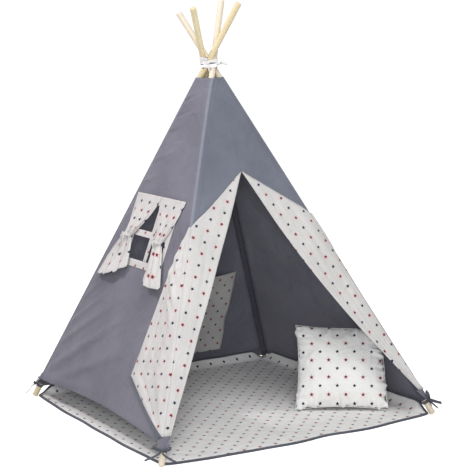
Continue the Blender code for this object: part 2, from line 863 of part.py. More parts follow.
def pressed(point):
    """A point of the cushion, held back where the right wall presses on it."""
    normal = wall_normal("front_right", "rear_right")
    room = (cover_corner("front_right", HEM_HEIGHT) - point).dot(normal)
    spare = (room - CUSHION_WALL_CLEARANCE) / CUSHION_GIVE
    kept = CUSHION_WALL_CLEARANCE + CUSHION_GIVE * (spare if spare > 20 else log1p(exp(spare)))
    return point - normal * (kept - room)


def add_cushion():
    mesh_edit = bmesh.new()
    steps = CUSHION_STEPS
    seam = {}

    def corner(row, column, side):
        u = sin(pi / 2 * (2 * column / steps - 1))
        v = sin(pi / 2 * (2 * row / steps - 1))
        if row in (0, steps) or column in (0, steps):
            if (row, column) not in seam:
                seam[row, column] = mesh_edit.verts.new(cushion_point(u, v, 0))
            return seam[row, column]
        return mesh_edit.verts.new(cushion_point(u, v, side))

    for side in (1, -1):
        levels = range(steps + 1)
        grid = [[corner(row, column, side) for column in levels] for row in levels]
        for row in range(steps):
            for column in range(steps):
                mesh_edit.faces.new(
                    (
                        grid[row][column],
                        grid[row][column + 1],
                        grid[row + 1][column + 1],
                        grid[row + 1][column],
                    )
                )
    turn = Matrix.Rotation(radians(-CUSHION_TURN), 4, "Z") @ Matrix.Rotation(
        radians(-CUSHION_LEAN), 4, "X"
    )
    bmesh.ops.transform(mesh_edit, matrix=turn, verts=mesh_edit.verts[:])
    lowest = min(vert.co.z for vert in mesh_edit.verts)
    place = Vector((*CUSHION_MIDDLE, MAT_THICKNESS + GAP - lowest))
    bmesh.ops.translate(mesh_edit, verts=mesh_edit.verts[:], vec=place)
    for vert in mesh_edit.verts:
        vert.co = pressed(vert.co)
    finish("cushion", mesh_edit, STAR_COTTON, RIGHT_FRAME, True)


# Crown: one strip of star cotton wound round the poles and knotted


def folded_pole(corner, z, fold):
    """A pole's centre at one height with its frame swung in by a share of the fold."""
    side_x = SIDE[corner][0]
    angle = radians(FOLD_ANGLE) * fold * side_x
    turn = Matrix.Rotation(angle, 3, "Y")
    base = turn @ (pole_point(corner, 0) - CROWN_POINT)
    direction = turn @ pole_direction(corner)
    along = (z - CROWN_HEIGHT - base.z) / direction.z
    return base + direction * along, direction


def crown_rims(z):
    """Points round all four poles at one height, with the side frames open and folded."""
    rims = []
    for corner in FEET:
        for fold in (0, 0.5, 1):
            centre, direction = folded_pole(corner, z, fold)
            slope = Vector((direction.x, direction.y)).normalized()
            beside = Vector((-slope.y, slope.x))
            middle = Vector((centre.x, centre.y))
            for step in range(36):
                turn = pi * step / 18
                ahead = slope * (POLE_RADIUS / direction.z * cos(turn))
                rims.append(middle + ahead + beside * (POLE_RADIUS * sin(turn)))
    return rims


def wrapped(rims, turn, out):
    """Where a strip pulled tight round the rims lies when it faces a direction."""
    step = 0.01

    def reach(angle):
        facing = Vector((cos(angle), sin(angle)))
        return max(rim.dot(facing) for rim in rims)

    slide = (reach(turn + step) - reach(turn - step)) / (2 * step)
    facing = Vector((cos(turn), sin(turn), 0))
    beside = Vector((-sin(turn), cos(turn), 0))
    return Vector((*CROWN_CENTRE, 0)) + facing * (reach(turn) + out) + beside * slide


def least_gap(rings, apart):
    """The least distance between the winding's points that lie half a turn or more apart."""
    return min(
        (first - last).length
        for index, ring in enumerate(rings)
        for other in rings[index + apart :]
        for first in ring
        for last in other
    )


def add_crown():
    pitch = CROWN_TAPE_WIDTH + CROWN_TURN_GAP
    rise = pitch * CROWN_TURNS
    steps = round(36 * CROWN_TURNS)
    thick = CROWN_CLEARANCE + CROWN_TAPE_THICKNESS
    bottom = CROWN_HEIGHT - (rise + CROWN_TAPE_WIDTH) / 2
    rings = []
    for step in range(steps + 1):
        turn = 2 * pi * CROWN_TURNS * step / steps
        low = bottom + rise * step / steps
        high = low + CROWN_TAPE_WIDTH
        ring = []
        for z, out in (
            (low, CROWN_CLEARANCE),
            (low, thick),
            (high, thick),
            (high, CROWN_CLEARANCE),
        ):
            ring.append(wrapped(crown_rims(z), turn, out) + UP * z)
        rings.append(ring)
    print(f"crown winding: least gap to itself {1000 * least_gap(rings, 18):.2f} mm")
    loft("crown_winding", rings, STAR_COTTON, CROWN, smooth=False)
    add_crown_knot()


def add_crown_knot():
    """A flat knot on the winding's right side, with its two ends standing off."""
    turn = radians(KNOT_FACING)
    facing = Vector((cos(turn), sin(turn), 0))
    beside = UP.cross(facing)
    surface = wrapped(crown_rims(CROWN_HEIGHT), turn, CROWN_CLEARANCE + CROWN_TAPE_THICKNESS)
    middle = surface + UP * CROWN_HEIGHT + facing * (KNOT_DEPTH / 2 + GAP)
    mesh_edit = bmesh.new()
    bmesh.ops.create_uvsphere(mesh_edit, u_segments=10, v_segments=7, radius=0.5)
    frame = Matrix((facing, beside, UP)).transposed().to_4x4()
    size = Matrix.Diagonal((KNOT_DEPTH, KNOT_WIDTH, KNOT_HEIGHT, 1))
    bmesh.ops.transform(
        mesh_edit, matrix=Matrix.Translation(middle) @ frame @ size, verts=mesh_edit.verts[:]
    )
    knot = finish("crown_knot", mesh_edit, STAR_COTTON, CROWN, True)
    for name, sideways, lift in (("upper", -0.35, 0.62), ("lower", 0.45, 0.05)):
        reach = (facing + beside * sideways + UP * lift).normalized()
        across = reach.cross(UP if name == "upper" else beside).normalized()
        thick = reach.cross(across).normalized() * (CROWN_TAPE_THICKNESS / 2)
        rings = []
        for share, width in ((0.05, 0.4), (0.4, 0.75), (0.72, 1), (1, 0.95)):
            along = KNOT_TAIL * share
            centre = middle + reach * along - UP * (KNOT_TAIL_DROOP * share**2)
            half = across * (CROWN_TAPE_WIDTH * 0.45 * width)
            rings.append(
                [
                    centre - half - thick,
                    centre + half - thick,
                    centre + half + thick,
                    centre - half + thick,
                ]
            )
        tail = loft(f"knot_tail_{name}", rings, STAR_COTTON, CROWN, smooth=False)
        tail.hide_render = True
        tail.display_type = "WIRE"
        join = knot.modifiers.new(name, "BOOLEAN")
        join.operation = "UNION"
        join.object = tail


# Feet: grey tapes tie the mat's corners to the poles


def add_foot_tie(corner):
    direction = pole_direction(corner)
    edges = []
    for z in (FOOT_TIE_HEIGHT, FOOT_TIE_HEIGHT + FOOT_TAPE_WIDTH):
        centre = pole_point(corner, z)
        ring = circle(centre, direction, POLE_RADIUS + GAP, POLE_SIDES)
        edges.append((ring, [(point - centre).normalized() for point in ring]))
    hoop(f"foot_tie_{corner}", edges, FOOT_TAPE_THICKNESS, GREY_TAPE, FRAME[corner])
    add_bow(corner, direction)


def bow_path():
    """The tape's middle as (sideways, up the pole, off the pole): tail, two loops, tail."""
    start = POLE_RADIUS + GAP + FOOT_TAPE_THICKNESS * 1.5 + LAYER_GAP
    layer = FOOT_TAPE_THICKNESS + LAYER_GAP
    loop = (
        (0.3, 0, 0),
        (0.65, 0.02, 0),
        (0.9, 0.25, 0),
        (1, 0.6, 0),
        (0.9, 0.9, layer),
        (0.6, 0.75, layer),
        (0.3, 0.25, layer),
    )
    path = []
    for share in (1, 0.8, 0.6, 0.4, 0.2):
        path.append((-BOW_TAIL_REACH * share**1.3, -BOW_TAIL_DROP * share**0.8, start))
    path.append((0, 0, start))
    for side in (1, -1):
        base = start if side > 0 else start + layer
        for along, off, back in loop:
            rise = BOW_LOOP * BOW_RISE * along
            path.append((side * BOW_LOOP * along, rise, base + back + BOW_BULGE * off))
        path.append((0, 0, base + layer))
    for share in (0.2, 0.4, 0.6, 0.8, 1):
        off = start + 2 * layer + BOW_BULGE * 0.6 * min(1, 3 * share)
        path.append((BOW_TAIL_REACH * share**1.5, -BOW_TAIL_DROP * share**0.8, off))
    return path


def add_bow(corner, direction):
    side_x, side_y = SIDE[corner]
    outward = Vector((side_x, side_y, 0)).normalized()
    facing = (outward - direction * outward.dot(direction)).normalized()
    beside = direction.cross(facing).normalized()
    middle = pole_point(corner, FOOT_TIE_HEIGHT + FOOT_TAPE_WIDTH / 2)
    points = [middle + beside * s + direction * d + facing * f for s, d, f in bow_path()]
    rings = []
    for index, point in enumerate(points):
        before = points[max(index - 1, 0)]
        after = points[min(index + 1, len(points) - 1)]
        along = (after - before).normalized()
        wide = (direction - along * along.dot(direction)).normalized()
        thick = along.cross(wide) * (FOOT_TAPE_THICKNESS / 2)
        wide = wide * (FOOT_TAPE_WIDTH / 2)
        rings.append(
            [point - wide - thick, point + wide - thick, point + wide + thick, point - wide + thick]
        )
    loft(f"foot_bow_{corner}", rings, GREY_TAPE, FRAME[corner], smooth=False)


for corner in FEET:
    add_pole(corner)
    add_sleeve(corner)
    add_foot_tie(corner)
add_left_wall()
add_right_wall()
for corner in OPPOSITE:
    add_front_panel(corner)
    add_flap(corner)
for corner in ("rear_left", "rear_right"):
    add_rear_panel(corner)
add_window()
add_curtain("front", -1)
add_curtain("rear", 1)
add_pocket()
add_mat("left", -1, LEFT_FRAME)
add_mat("right", 1, RIGHT_FRAME)
add_cushion()
add_crown()
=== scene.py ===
from math import atan2, copysign, cos, exp, log1p, pi, radians, sin, sqrt, tan

import bmesh
import bpy
from mathutils import Matrix, Vector, noise


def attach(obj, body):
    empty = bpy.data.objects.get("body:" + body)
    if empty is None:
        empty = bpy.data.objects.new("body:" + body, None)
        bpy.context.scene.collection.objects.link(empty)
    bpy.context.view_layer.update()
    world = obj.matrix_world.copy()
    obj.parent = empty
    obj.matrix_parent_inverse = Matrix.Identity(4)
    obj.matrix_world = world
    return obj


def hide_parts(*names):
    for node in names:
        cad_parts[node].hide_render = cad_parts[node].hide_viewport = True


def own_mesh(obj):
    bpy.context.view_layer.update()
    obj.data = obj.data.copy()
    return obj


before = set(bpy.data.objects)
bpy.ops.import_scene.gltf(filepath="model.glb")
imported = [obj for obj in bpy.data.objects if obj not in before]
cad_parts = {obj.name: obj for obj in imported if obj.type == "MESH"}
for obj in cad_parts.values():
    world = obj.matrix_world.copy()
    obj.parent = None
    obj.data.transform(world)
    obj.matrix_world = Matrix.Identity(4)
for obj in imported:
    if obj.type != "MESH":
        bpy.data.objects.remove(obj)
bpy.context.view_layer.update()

UP = Vector((0, 0, 1))

# Poles
# Four round pine dowels with eased ends. They lean in from the floor, pass each other
# at the crown and stand on above it. They are pushed through the cover's corners.
POLE_RADIUS = 0.012
POLE_LENGTH = 1.92
POLE_END_ROUND = 0.0035
FOOT_WEAR = 0.003
CROWN_CENTRE = (-0.017, -0.002)
CROWN_HEIGHT = 1.43
CROWN_OFFSET = 0.01933
FEET = {
    "front_left": (-0.592, -0.577),
    "front_right": (0.646, -0.609),
    "rear_right": (0.592, 0.594),
    "rear_left": (-0.578, 0.602),
}
SIDE = {corner: (copysign(1, x), copysign(1, y)) for corner, (x, y) in FEET.items()}
BODY = {corner: corner.split("_")[1] + "_frame" for corner in FEET}
PINE = {
    "front": ((0.73, 0.645, 0.53), (0.68, 0.58, 0.44)),
    "rear": ((0.70, 0.60, 0.39), (0.64, 0.52, 0.31)),
}
PINE_GRAIN = (0.60, 0.46, 0.28)
OBJECT_OUTPUT = 3


def pole_point(corner, z):
    """A point on a pole's centre line. The poles pass each other at the crown."""
    x, y = CROWN_CENTRE
    side_x, side_y = SIDE[corner]
    step = CROWN_OFFSET / sqrt(2)
    crossing = Vector((x - side_y * step, y + side_x * step, CROWN_HEIGHT))
    return Vector((*FEET[corner], 0)).lerp(crossing, z / CROWN_HEIGHT)


def pole_direction(corner):
    return (pole_point(corner, CROWN_HEIGHT) - pole_point(corner, 0)).normalized()


def blank_finish(name):
    """A new material with its node tree."""
    finish = bpy.data.materials.new(name)
    finish.use_nodes = True
    return finish, finish.node_tree


def feed(tree, node, inputs):
    """Links or sets some of a node's inputs."""
    for name, value in inputs.items():
        if isinstance(value, bpy.types.NodeSocket):
            tree.links.new(value, node.inputs[name])
        else:
            node.inputs[name].default_value = value


def add_node(tree, kind, inputs, output=0, **settings):
    """One shader node. It gives back one of its outputs."""
    made = tree.nodes.new("ShaderNode" + kind)
    for setting, value in settings.items():
        setattr(made, setting, value)
    feed(tree, made, inputs)
    return made.outputs[output]


def calc(tree, operation, *values):
    return add_node(tree, "Math", dict(enumerate(values)), operation=operation)


def blend(tree, share, first, second):
    """Mixes two colours, each a socket or three numbers.

    Inputs 6 and 7 and output 2 are the node's colours.
    """
    inputs = {0: share}
    for place, colour in ((6, first), (7, second)):
        inputs[place] = colour if isinstance(colour, bpy.types.NodeSocket) else (*colour, 1)
    return add_node(tree, "Mix", inputs, 2, data_type="RGBA")


def ramp(tree, value, low, high):
    """0 below low, 1 above high and smooth between."""
    inputs = {"Value": value, "From Min": low, "From Max": high}
    return add_node(tree, "MapRange", inputs, interpolation_type="SMOOTHSTEP")


def clouds(tree, place, scale, detail, **more):
    inputs = {"Vector": place, "Scale": scale, "Detail": detail, **more}
    return add_node(tree, "TexNoise", inputs)


def bump(tree, height, strength, distance, invert=False, **below):
    inputs = {"Height": height, "Strength": strength, "Distance": distance, **below}
    return add_node(tree, "Bump", inputs, invert=invert)


def pine(corner):
    """Planed pine: pale, with faint darker grain that runs along the pole."""
    finish, tree = blank_finish(f"pine_{corner}")
    place = add_node(tree, "TexCoord", {}, OBJECT_OUTPUT)
    turn = pole_direction(corner).rotation_difference(UP).to_euler()
    along = add_node(tree, "Mapping", {"Vector": place, "Rotation": turn})
    drawn = add_node(tree, "Mapping", {"Vector": along, "Scale": (90, 90, 2.5)})
    grain = clouds(tree, drawn, 1.0, 5.0)
    broad = ramp(tree, clouds(tree, along, 4.0, 2.0), 0.35, 0.7)
    pale = blend(tree, broad, *PINE[corner.split("_")[0]])
    streaks = calc(tree, "MULTIPLY", ramp(tree, grain, 0.5, 0.78), 0.35)
    look = {
        "Base Color": blend(tree, streaks, pale, PINE_GRAIN),
        "Normal": bump(tree, grain, 0.06, 0.0003),
        "Roughness": 0.5,
        "Specular IOR Level": 0.35,
    }
    feed(tree, tree.nodes["Principled BSDF"], look)
    return finish


def as_mesh(name, shape):
    """Turns a shape into a mesh and lets the shape go."""
    mesh = bpy.data.meshes.new(name)
    shape.to_mesh(mesh)
    shape.free()
    return mesh


def put(name, data):
    """Adds one object to the scene."""
    made = bpy.data.objects.new(name, data)
    bpy.context.collection.objects.link(made)
    return made


def add_piece(name, shape, finish, body, node=None):
    """Makes a smooth piece of a shape and lets it ride on its body."""
    mesh = as_mesh(name, shape)
    mesh.shade_smooth()
    mesh.materials.append(finish)
    made = put(name, mesh)
    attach(made, body)
    if node:
        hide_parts(node)
    return made


def slice_at(shape, point, facing, **more):
    """Cuts a shape's faces along a plane."""
    whole = shape.verts[:] + shape.edges[:] + shape.faces[:]
    bmesh.ops.bisect_plane(shape, geom=whole, plane_co=point, plane_no=facing, **more)


for corner in FEET:
    direction = pole_direction(corner)
    dowel = bmesh.new()
    bmesh.ops.create_cone(
        dowel, cap_ends=True, segments=32,
        radius1=POLE_RADIUS, radius2=POLE_RADIUS, depth=POLE_LENGTH,
    )
    near_end = POLE_LENGTH * 0.9
    rims = [edge for edge in dowel.edges if abs(sum(vert.co.z for vert in edge.verts)) > near_end]
    bmesh.ops.bevel(
        dowel, geom=rims, offset=POLE_END_ROUND, segments=3,
        profile=0.5, affect="EDGES", material=-1,
    )
    foot = pole_point(corner, POLE_RADIUS * sin(direction.angle(UP)) - FOOT_WEAR)
    upright = UP.rotation_difference(direction).to_matrix().to_4x4()
    stand = Matrix.Translation(foot + direction * (POLE_LENGTH / 2)) @ upright
    bmesh.ops.transform(dowel, matrix=stand, verts=dowel.verts[:])
    slice_at(dowel, (0, 0, 0), -UP, clear_outer=True)
    bmesh.ops.holes_fill(dowel, edges=[edge for edge in dowel.edges if edge.is_boundary])
    pole = add_piece(f"dowel_{corner}", dowel, pine(corner), BODY[corner], f"pole_{corner}")
    pole.data.set_sharp_from_angle(angle=radians(35))

# Cover: the sleeves
# A channel of grey cotton is sewn inside each corner of the cover for its pole.
# Seen from inside it is a dark tube that runs up the corner: its grey cotton is painted much darker
# than the walls' as painted shade.
CLOTH = 0.0012
THIN_CLOTH = 0.0009
GAP = 0.0004
HEM_HEIGHT = 0.072
TOP_EDGE_HEIGHT = 1.372
SLEEVE_RADIUS = POLE_RADIUS + GAP
SLEEVE_TOP = TOP_EDGE_HEIGHT - 0.02
SLEEVE_ROOM = 0.0003
SLEEVE_DROP = 0.012
REAR_RIGHT_DROP = 0.052
THREADS = 5200.0
STITCH_LENGTH = 0.0034
STITCH_HALF_WIDTH = 0.0007
STITCHED_SHARE = 0.72
SIDE_SEAM = 0.028
HEM_SEAM = 0.011


def split(tree, vector):
    """The first two numbers of a vector."""
    outputs = add_node(tree, "SeparateXYZ", {0: vector}).node.outputs
    return outputs[0], outputs[1]


def fall(tree, value, low, high):
    """1 below low, 0 above high and smooth between."""
    return calc(tree, "SUBTRACT", 1.0, ramp(tree, value, low, high))


def stitched(tree, edges, flat, side, hem):
    """1 on rows of stitches that run at a distance from the sides and from the hem."""
    rows = []
    across, up = split(tree, flat)
    for edge, along, distance in zip(split(tree, edges), (up, across), (side, hem)):
        off = calc(tree, "ABSOLUTE", calc(tree, "SUBTRACT", edge, distance))
        line = calc(tree, "LESS_THAN", off, STITCH_HALF_WIDTH)
        step = calc(tree, "FRACT", calc(tree, "DIVIDE", along, STITCH_LENGTH))
        rows.append(calc(tree, "MULTIPLY", line, calc(tree, "LESS_THAN", step, STITCHED_SHARE)))
    return calc(tree, "MAXIMUM", *rows)


def weave(tree, colour, flat, place, stitches, crinkle, rough, sheen, sheen_rough):
    """Gives cotton its colour and its bump: threads, soft crinkles and sunk stitches."""
    ways = (calc(tree, "MULTIPLY", way, THREADS) for way in split(tree, flat))
    woven = calc(tree, "MULTIPLY", *(calc(tree, "SINE", way) for way in ways))
    threads = bump(tree, woven, 0.2, 0.0003)
    folds = clouds(tree, place, 11.0, 4.0, Roughness=0.5, Distortion=1.2)
    creased = bump(tree, folds, crinkle, 0.03, Normal=threads)
    look = {
        "Base Color": colour,
        "Normal": bump(tree, stitches, 0.5, 0.0008, True, Normal=creased),
        "Roughness": rough,
        "Specular IOR Level": 0.2,
        "Sheen Weight": sheen,
        "Sheen Roughness": sheen_rough,
    }
    feed(tree, tree.nodes["Principled BSDF"], look)


def cotton(name, first, second, crinkle=0.35, pole_highlight=0.0, slot="grey_cotton"):
    """Plain woven cotton in one colour, a little uneven, with a stitched hem.

    It can be painted paler along its sides, as a painted highlight where the cloth turns round the
    poles and catches the light.
    """
    finish, tree = blank_finish(name)
    place = add_node(tree, "TexCoord", {}, OBJECT_OUTPUT)
    flat, edges = (add_node(tree, "UVMap", {}, uv_map=layer) for layer in ("flat", "edges"))
    colour = blend(tree, ramp(tree, clouds(tree, place, 5.0, 3.0), 0.3, 0.7), first, second)
    # Painted highlight: paler colour within about 1 cm of the sides, along the poles.
    if pole_highlight:
        highlight_share = calc(tree, "MULTIPLY", fall(tree, split(tree, edges)[0], 0.002, 0.010), pole_highlight)
        colour = blend(tree, highlight_share, colour, tuple(channel * 1.6 for channel in first))
    stitches = stitched(tree, edges, flat, SIDE_SEAM, HEM_SEAM)
    shade = tuple(channel * 0.6 for channel in second)
    colour = blend(tree, calc(tree, "MULTIPLY", stitches, 0.45), colour, shade)
    weave(tree, colour, flat, place, stitches, crinkle, 0.88, 0.12, 0.45)
    return finish


def mix(low, high, share):
    return low + (high - low) * share


def soft(x, y, z):
    """A value near 0 that changes slowly from place to place and is the same each run."""
    return noise.noise(Vector((x, y, z)))


def lay(columns, rows, place, size=None, printed=None, margin=None):
    """Cloth cut as a grid, with each point laid where place(u, v) says.

    Its map "flat" holds metres on the cloth, and "edges" the metres to its sewn edges.
    """
    cloth = bmesh.new()
    bmesh.ops.create_grid(cloth, x_segments=columns, y_segments=rows, size=0.5)
    flat = cloth.loops.layers.uv.new("flat")
    edges = cloth.loops.layers.uv.new("edges")
    cut = {vert: (vert.co.x + 0.5, vert.co.y + 0.5) for vert in cloth.verts}
    for vert, (u, v) in cut.items():
        vert.co = place(u, v)
    for face in cloth.faces:
        for loop in face.loops:
            u, v = cut[loop.vert]
            loop[flat].uv = printed(loop.vert.co) if printed else (u * size[0], v * size[1])
            if margin:
                loop[edges].uv = margin(u, v)
            else:
                loop[edges].uv = (min(u, 1 - u) * size[0], min(v, 1 - v) * size[1])
    return cloth


def close_ring(tube, reach=0.00005):
    """Joins the edges that meet where a cloth is laid in a ring."""
    bmesh.ops.remove_doubles(tube, verts=tube.verts[:], dist=reach)
    bmesh.ops.recalc_face_normals(tube, faces=tube.faces[:])


def face_outward(cloth, outward):
    """Turns the cloth so that its right side faces outward."""
    cloth.normal_update()
    if sum(face.normal.dot(outward) * face.calc_area() for face in cloth.faces) < 0:
        bmesh.ops.reverse_faces(cloth, faces=cloth.faces[:])


def thicken(piece, thickness, offset):
    body = piece.modifiers.new("thickness", "SOLIDIFY")
    body.thickness = thickness
    body.offset = offset
    body.use_even_offset = False


def add_cloth(
    name, shape, finish, body, node,
    outward=None, thickness=CLOTH, offset=1.0,
):
    """A piece of cloth with its thickness, turned so that its right side faces outward if outward
    is given.
    """
    if outward:
        face_outward(shape, outward)
    made = add_piece(name, shape, finish, body, node)
    thicken(made, thickness, offset)
    return made


def beside_pole(corner, z, turn, radius):
    """A point on a ring round a pole."""
    direction = pole_direction(corner)
    side = direction.orthogonal().normalized()
    other_side = direction.cross(side)
    return pole_point(corner, z) + (side * cos(turn) + other_side * sin(turn)) * radius


# Painted shade: the sleeves' grey cotton gets a much darker colour than the walls' grey cotton.
SHADED_SLEEVE_COTTON = cotton("shaded_sleeve_cotton", (0.085, 0.083, 0.105), (0.060, 0.060, 0.078), 0.6)
for corner in FEET:
    low = HEM_HEIGHT - (REAR_RIGHT_DROP if corner == "rear_right" else SLEEVE_DROP)

    def place(u, v):
        turn = 2 * pi * u
        room = SLEEVE_ROOM + 0.0005 * soft(3 * cos(turn), 3 * sin(turn), 40 * v)
        return beside_pole(corner, mix(low, SLEEVE_TOP, v), turn, SLEEVE_RADIUS + room)

    tube = lay(24, 60, place, (2 * pi * SLEEVE_RADIUS, SLEEVE_TOP - low))
    close_ring(tube)
    add_cloth(
        f"channel_{corner}", tube, SHADED_SLEEVE_COTTON, BODY[corner], f"sleeve_{corner}",
        thickness=THIN_CLOTH,
    )

# Cover: the window wall
# The left wall is one panel of grey cotton with a square window cut in it.
# It is sewn to the front and rear walls along the poles, and turns round them. Its hem
# is pulled up a little between the feet.
LEFT_HEM_RISE = 0.032
WINDOW_LOW = -0.134
WINDOW_HIGH = 0.126
WINDOW_BOTTOM = 0.655
WINDOW_TOP = 0.872
LAYER_GAP = 0.0008
WALL_LEAN = atan2(0.663, CROWN_HEIGHT)
WALL_OFFSET = (SLEEVE_RADIUS + CLOTH + 0.0012) / cos(WALL_LEAN)
LAYER = (CLOTH + LAYER_GAP) / cos(WALL_LEAN)
TURN_WIDTH = 0.034
TURN_COLUMNS = 0.1
LEFT_WALL = ("front_left", "rear_left")
RIGHT_WALL = ("front_right", "rear_right")
FRONT_WALL = ("front_left", "front_right")
REAR_WALL = ("rear_left", "rear_right")
POLE_STRIP = 0.016
BILLOW = 0.0035
CREASE_STRENGTH = 2.2
# Each crease: the share and height of both its ends, its width and its depth.
CREASES = {
    LEFT_WALL: (
        (0.96, 0.13, 0.42, 0.47, 0.020, 0.0055),
        (0.90, 0.09, 0.30, 0.36, 0.022, 0.005),
        (0.98, 0.24, 0.58, 0.50, 0.014, 0.004),
        (0.98, 0.33, 0.66, 0.55, 0.012, 0.0035),
        (0.98, 0.43, 0.74, 0.61, 0.010, 0.003),
        (0.96, 0.10, 0.45, 0.15, 0.018, 0.004),
        (0.03, 0.53, 0.22, 0.74, 0.014, 0.005),
        (0.03, 0.62, 0.20, 0.82, 0.013, 0.004),
        (0.02, 0.70, 0.16, 0.90, 0.010, 0.003),
        (0.02, 0.44, 0.18, 0.62, 0.012, 0.003),
        (0.98, 0.94, 0.60, 1.00, 0.010, 0.0022),
        (0.98, 1.03, 0.50, 1.09, 0.009, 0.0022),
        *(
            (0.97, 1.155 + 0.019 * n, 0.45 - 0.12 * (n % 3), 1.20 + 0.021 * n, 0.0065, 0.0026)
            for n in range(7)
        ),
    ),
    FRONT_WALL: (
        (0.04, 0.86, 0.42, 1.00, 0.022, 0.004),
        (0.08, 0.95, 0.50, 1.06, 0.020, 0.003),
        (0.55, 1.04, 0.96, 0.90, 0.022, 0.003),
        (0.20, 1.12, 0.80, 1.13, 0.018, 0.002),
        (0.20, 1.22, 0.85, 1.24, 0.014, 0.002),
    ),
    RIGHT_WALL: (
        (0.95, 0.62, 0.40, 0.34, 0.050, 0.008),
        (0.90, 0.85, 0.45, 0.60, 0.040, 0.006),
        (0.70, 0.30, 0.15, 0.14, 0.040, 0.006),
        (0.06, 0.30, 0.45, 0.52, 0.040, 0.006),
    ),
    REAR_WALL: (
        (0.04, 0.50, 0.40, 0.62, 0.035, 0.005),
        (0.95, 0.12, 0.62, 0.40, 0.040, 0.006),
        (0.96, 0.55, 0.60, 0.75, 0.030, 0.004),
    ),
}


def neighbours(corner):
    """The corners before and after this one, round the poles."""
    ring = list(FEET)
    index = ring.index(corner)
    return ring[index - 1], ring[(index + 1) % 4]


def cover_corner(corner, z, layer=0):
    """Where the two walls beside a pole would meet, each clear of both its poles."""
    here = pole_point(corner, z)
    last, following = (pole_point(other, z) for other in neighbours(corner))
    before = (here - last).normalized().cross(UP)
    after = (following - here).normalized().cross(UP)
    return here + (before + after) * (WALL_OFFSET + layer * LAYER) / (1 + before.dot(after))


def level_normal(start, end, z):
    """The wall's outward normal in the level plane."""
    first, last = pole_point(start, z), pole_point(end, z)
    normal = (last - first).normalized().cross(UP)
    outward = normal.dot((first + last) / 2 - Vector((*CROWN_CENTRE, z))) > 0
    return normal if outward else -normal


def wall_normal(start, end):
    """The outward normal at the middle of a wall."""
    level = level_normal(start, end, HEM_HEIGHT)
    low, high = ((pole_point(start, z) + pole_point(end, z)) / 2 for z in (0, 1))
    normal = level.cross(UP).cross(high - low).normalized()
    return normal if normal.dot(level) > 0 else -normal


def wall_width(z):
    return 0.03 + 1.2 * (CROWN_HEIGHT - z) / CROWN_HEIGHT


def slack(start, end, share, z):
    """How far the cloth stands out between its poles: a soft billow and long creases."""
    wall = (start, end)
    if wall not in CREASES:
        wall = (end, start)
        share = 1 - share
    across = (share - 0.5) * wall_width(z)
    beside = min(share, 1 - share) * wall_width(z) - POLE_STRIP
    fade = max(0, min(1, beside / (0.010 + 0.035 * wall_width(z))))
    out = BILLOW + 0.0025 * soft(across * 5, z * 4, 7.3 * list(CREASES).index(wall))
    for first, first_z, last, last_z, width, depth in CREASES[wall]:
        begin = Vector(((first - 0.5) * wall_width(first_z), first_z))
        reach = Vector(((last - 0.5) * wall_width(last_z), last_z)) - begin
        here = Vector((across, z)) - begin
        along = here.dot(reach) / reach.length_squared
        if 0 < along < 1:
            aside = (here - reach * along).length / width
            out += CREASE_STRENGTH * depth * sin(pi * along**0.6) * exp(-aside * aside)
    return out * fade * fade * (3 - 2 * fade)


def on_cover(start, end, share, z, layer=0, lift=0.0):
    """A point of a layer of the cover, which turns round the poles at both its ends."""
    low = cover_corner(start, z, layer)
    high = cover_corner(end, z, layer)
    point = low.lerp(high, share)
    normal = level_normal(start, end, z)
    for corner, tip, other in ((start, low, high), (end, high, low)):
        centre = pole_point(corner, z)
        along = (other - tip).normalized()
        turn = (centre - tip).dot(along)
        past = (point - tip).dot(along)
        if past < turn:
            bisector = (tip - centre).normalized()
            angle = bisector.angle(normal) * max(past, 0) / turn
            facing = Matrix.Rotation(angle, 3, bisector.cross(normal).normalized()) @ bisector
            return centre + facing * (WALL_OFFSET + layer * LAYER + lift)
    return point + normal * (slack(start, end, share, z) + lift)


def crowded(u, width, both=True):
    """A column's share, with columns close together where the cloth turns round a pole."""
    turn = min(TURN_WIDTH, width * 0.3) / width
    ends = 2 if both else 1
    if u < TURN_COLUMNS:
        return turn * u / TURN_COLUMNS
    if both and u > 1 - TURN_COLUMNS:
        return 1 - turn * (1 - u) / TURN_COLUMNS
    return turn + (1 - ends * turn) * (u - TURN_COLUMNS) / (1 - ends * TURN_COLUMNS)


def on_plane(start, end):
    """Gives the metres across and up a wall's plane, for a pattern that lies true."""
    normal = wall_normal(start, end)
    across = UP.cross(normal).normalized()
    up = normal.cross(across)
    return lambda point: (point.dot(across), point.dot(up))


def even_height(hem, v):
    return mix(hem, TOP_EDGE_HEIGHT, v)


def lay_wall(wall, columns, rows, hem=lambda u: HEM_HEIGHT, far=None, height=even_height):
    """Lays a wall from its hem up. far gives the share at which a half wall ends."""

    def share(u, z):
        end = far(z) if far else 1
        return crowded(u, wall_width(z) * end, not far) * end

    def place(u, v):
        z = height(hem(u), v)
        return on_cover(*wall, share(u, z), z)

    def margin(u, v):
        z = height(HEM_HEIGHT, v)
        side = share(u, z)
        side = side if far else min(side, 1 - side)
        return side * wall_width(z), (z - HEM_HEIGHT) / cos(WALL_LEAN)

    return lay(columns, rows, place, None, on_plane(*wall), margin)


def in_window(face):
    middle = face.calc_center_median()
    return WINDOW_LOW < middle.y < WINDOW_HIGH and WINDOW_BOTTOM < middle.z < WINDOW_TOP


# The walls' grey cotton carries the painted highlight along the poles.
GREY_COTTON = cotton("grey_cotton", (0.188, 0.186, 0.226), (0.155, 0.154, 0.190), pole_highlight=0.6)
wall = lay_wall(LEFT_WALL, 140, 200, lambda u: HEM_HEIGHT + LEFT_HEM_RISE * sin(pi * u))
for edge in (WINDOW_LOW, WINDOW_HIGH):
    slice_at(wall, (0, edge, 0), (0, 1, 0))
for edge in (WINDOW_BOTTOM, WINDOW_TOP):
    slice_at(wall, (0, 0, edge), UP)
bmesh.ops.delete(wall, geom=[face for face in wall.faces if in_window(face)], context="FACES")
add_cloth(
    "window_wall", wall, GREY_COTTON, "left_frame", "left_wall",
    wall_normal(*LEFT_WALL),
)

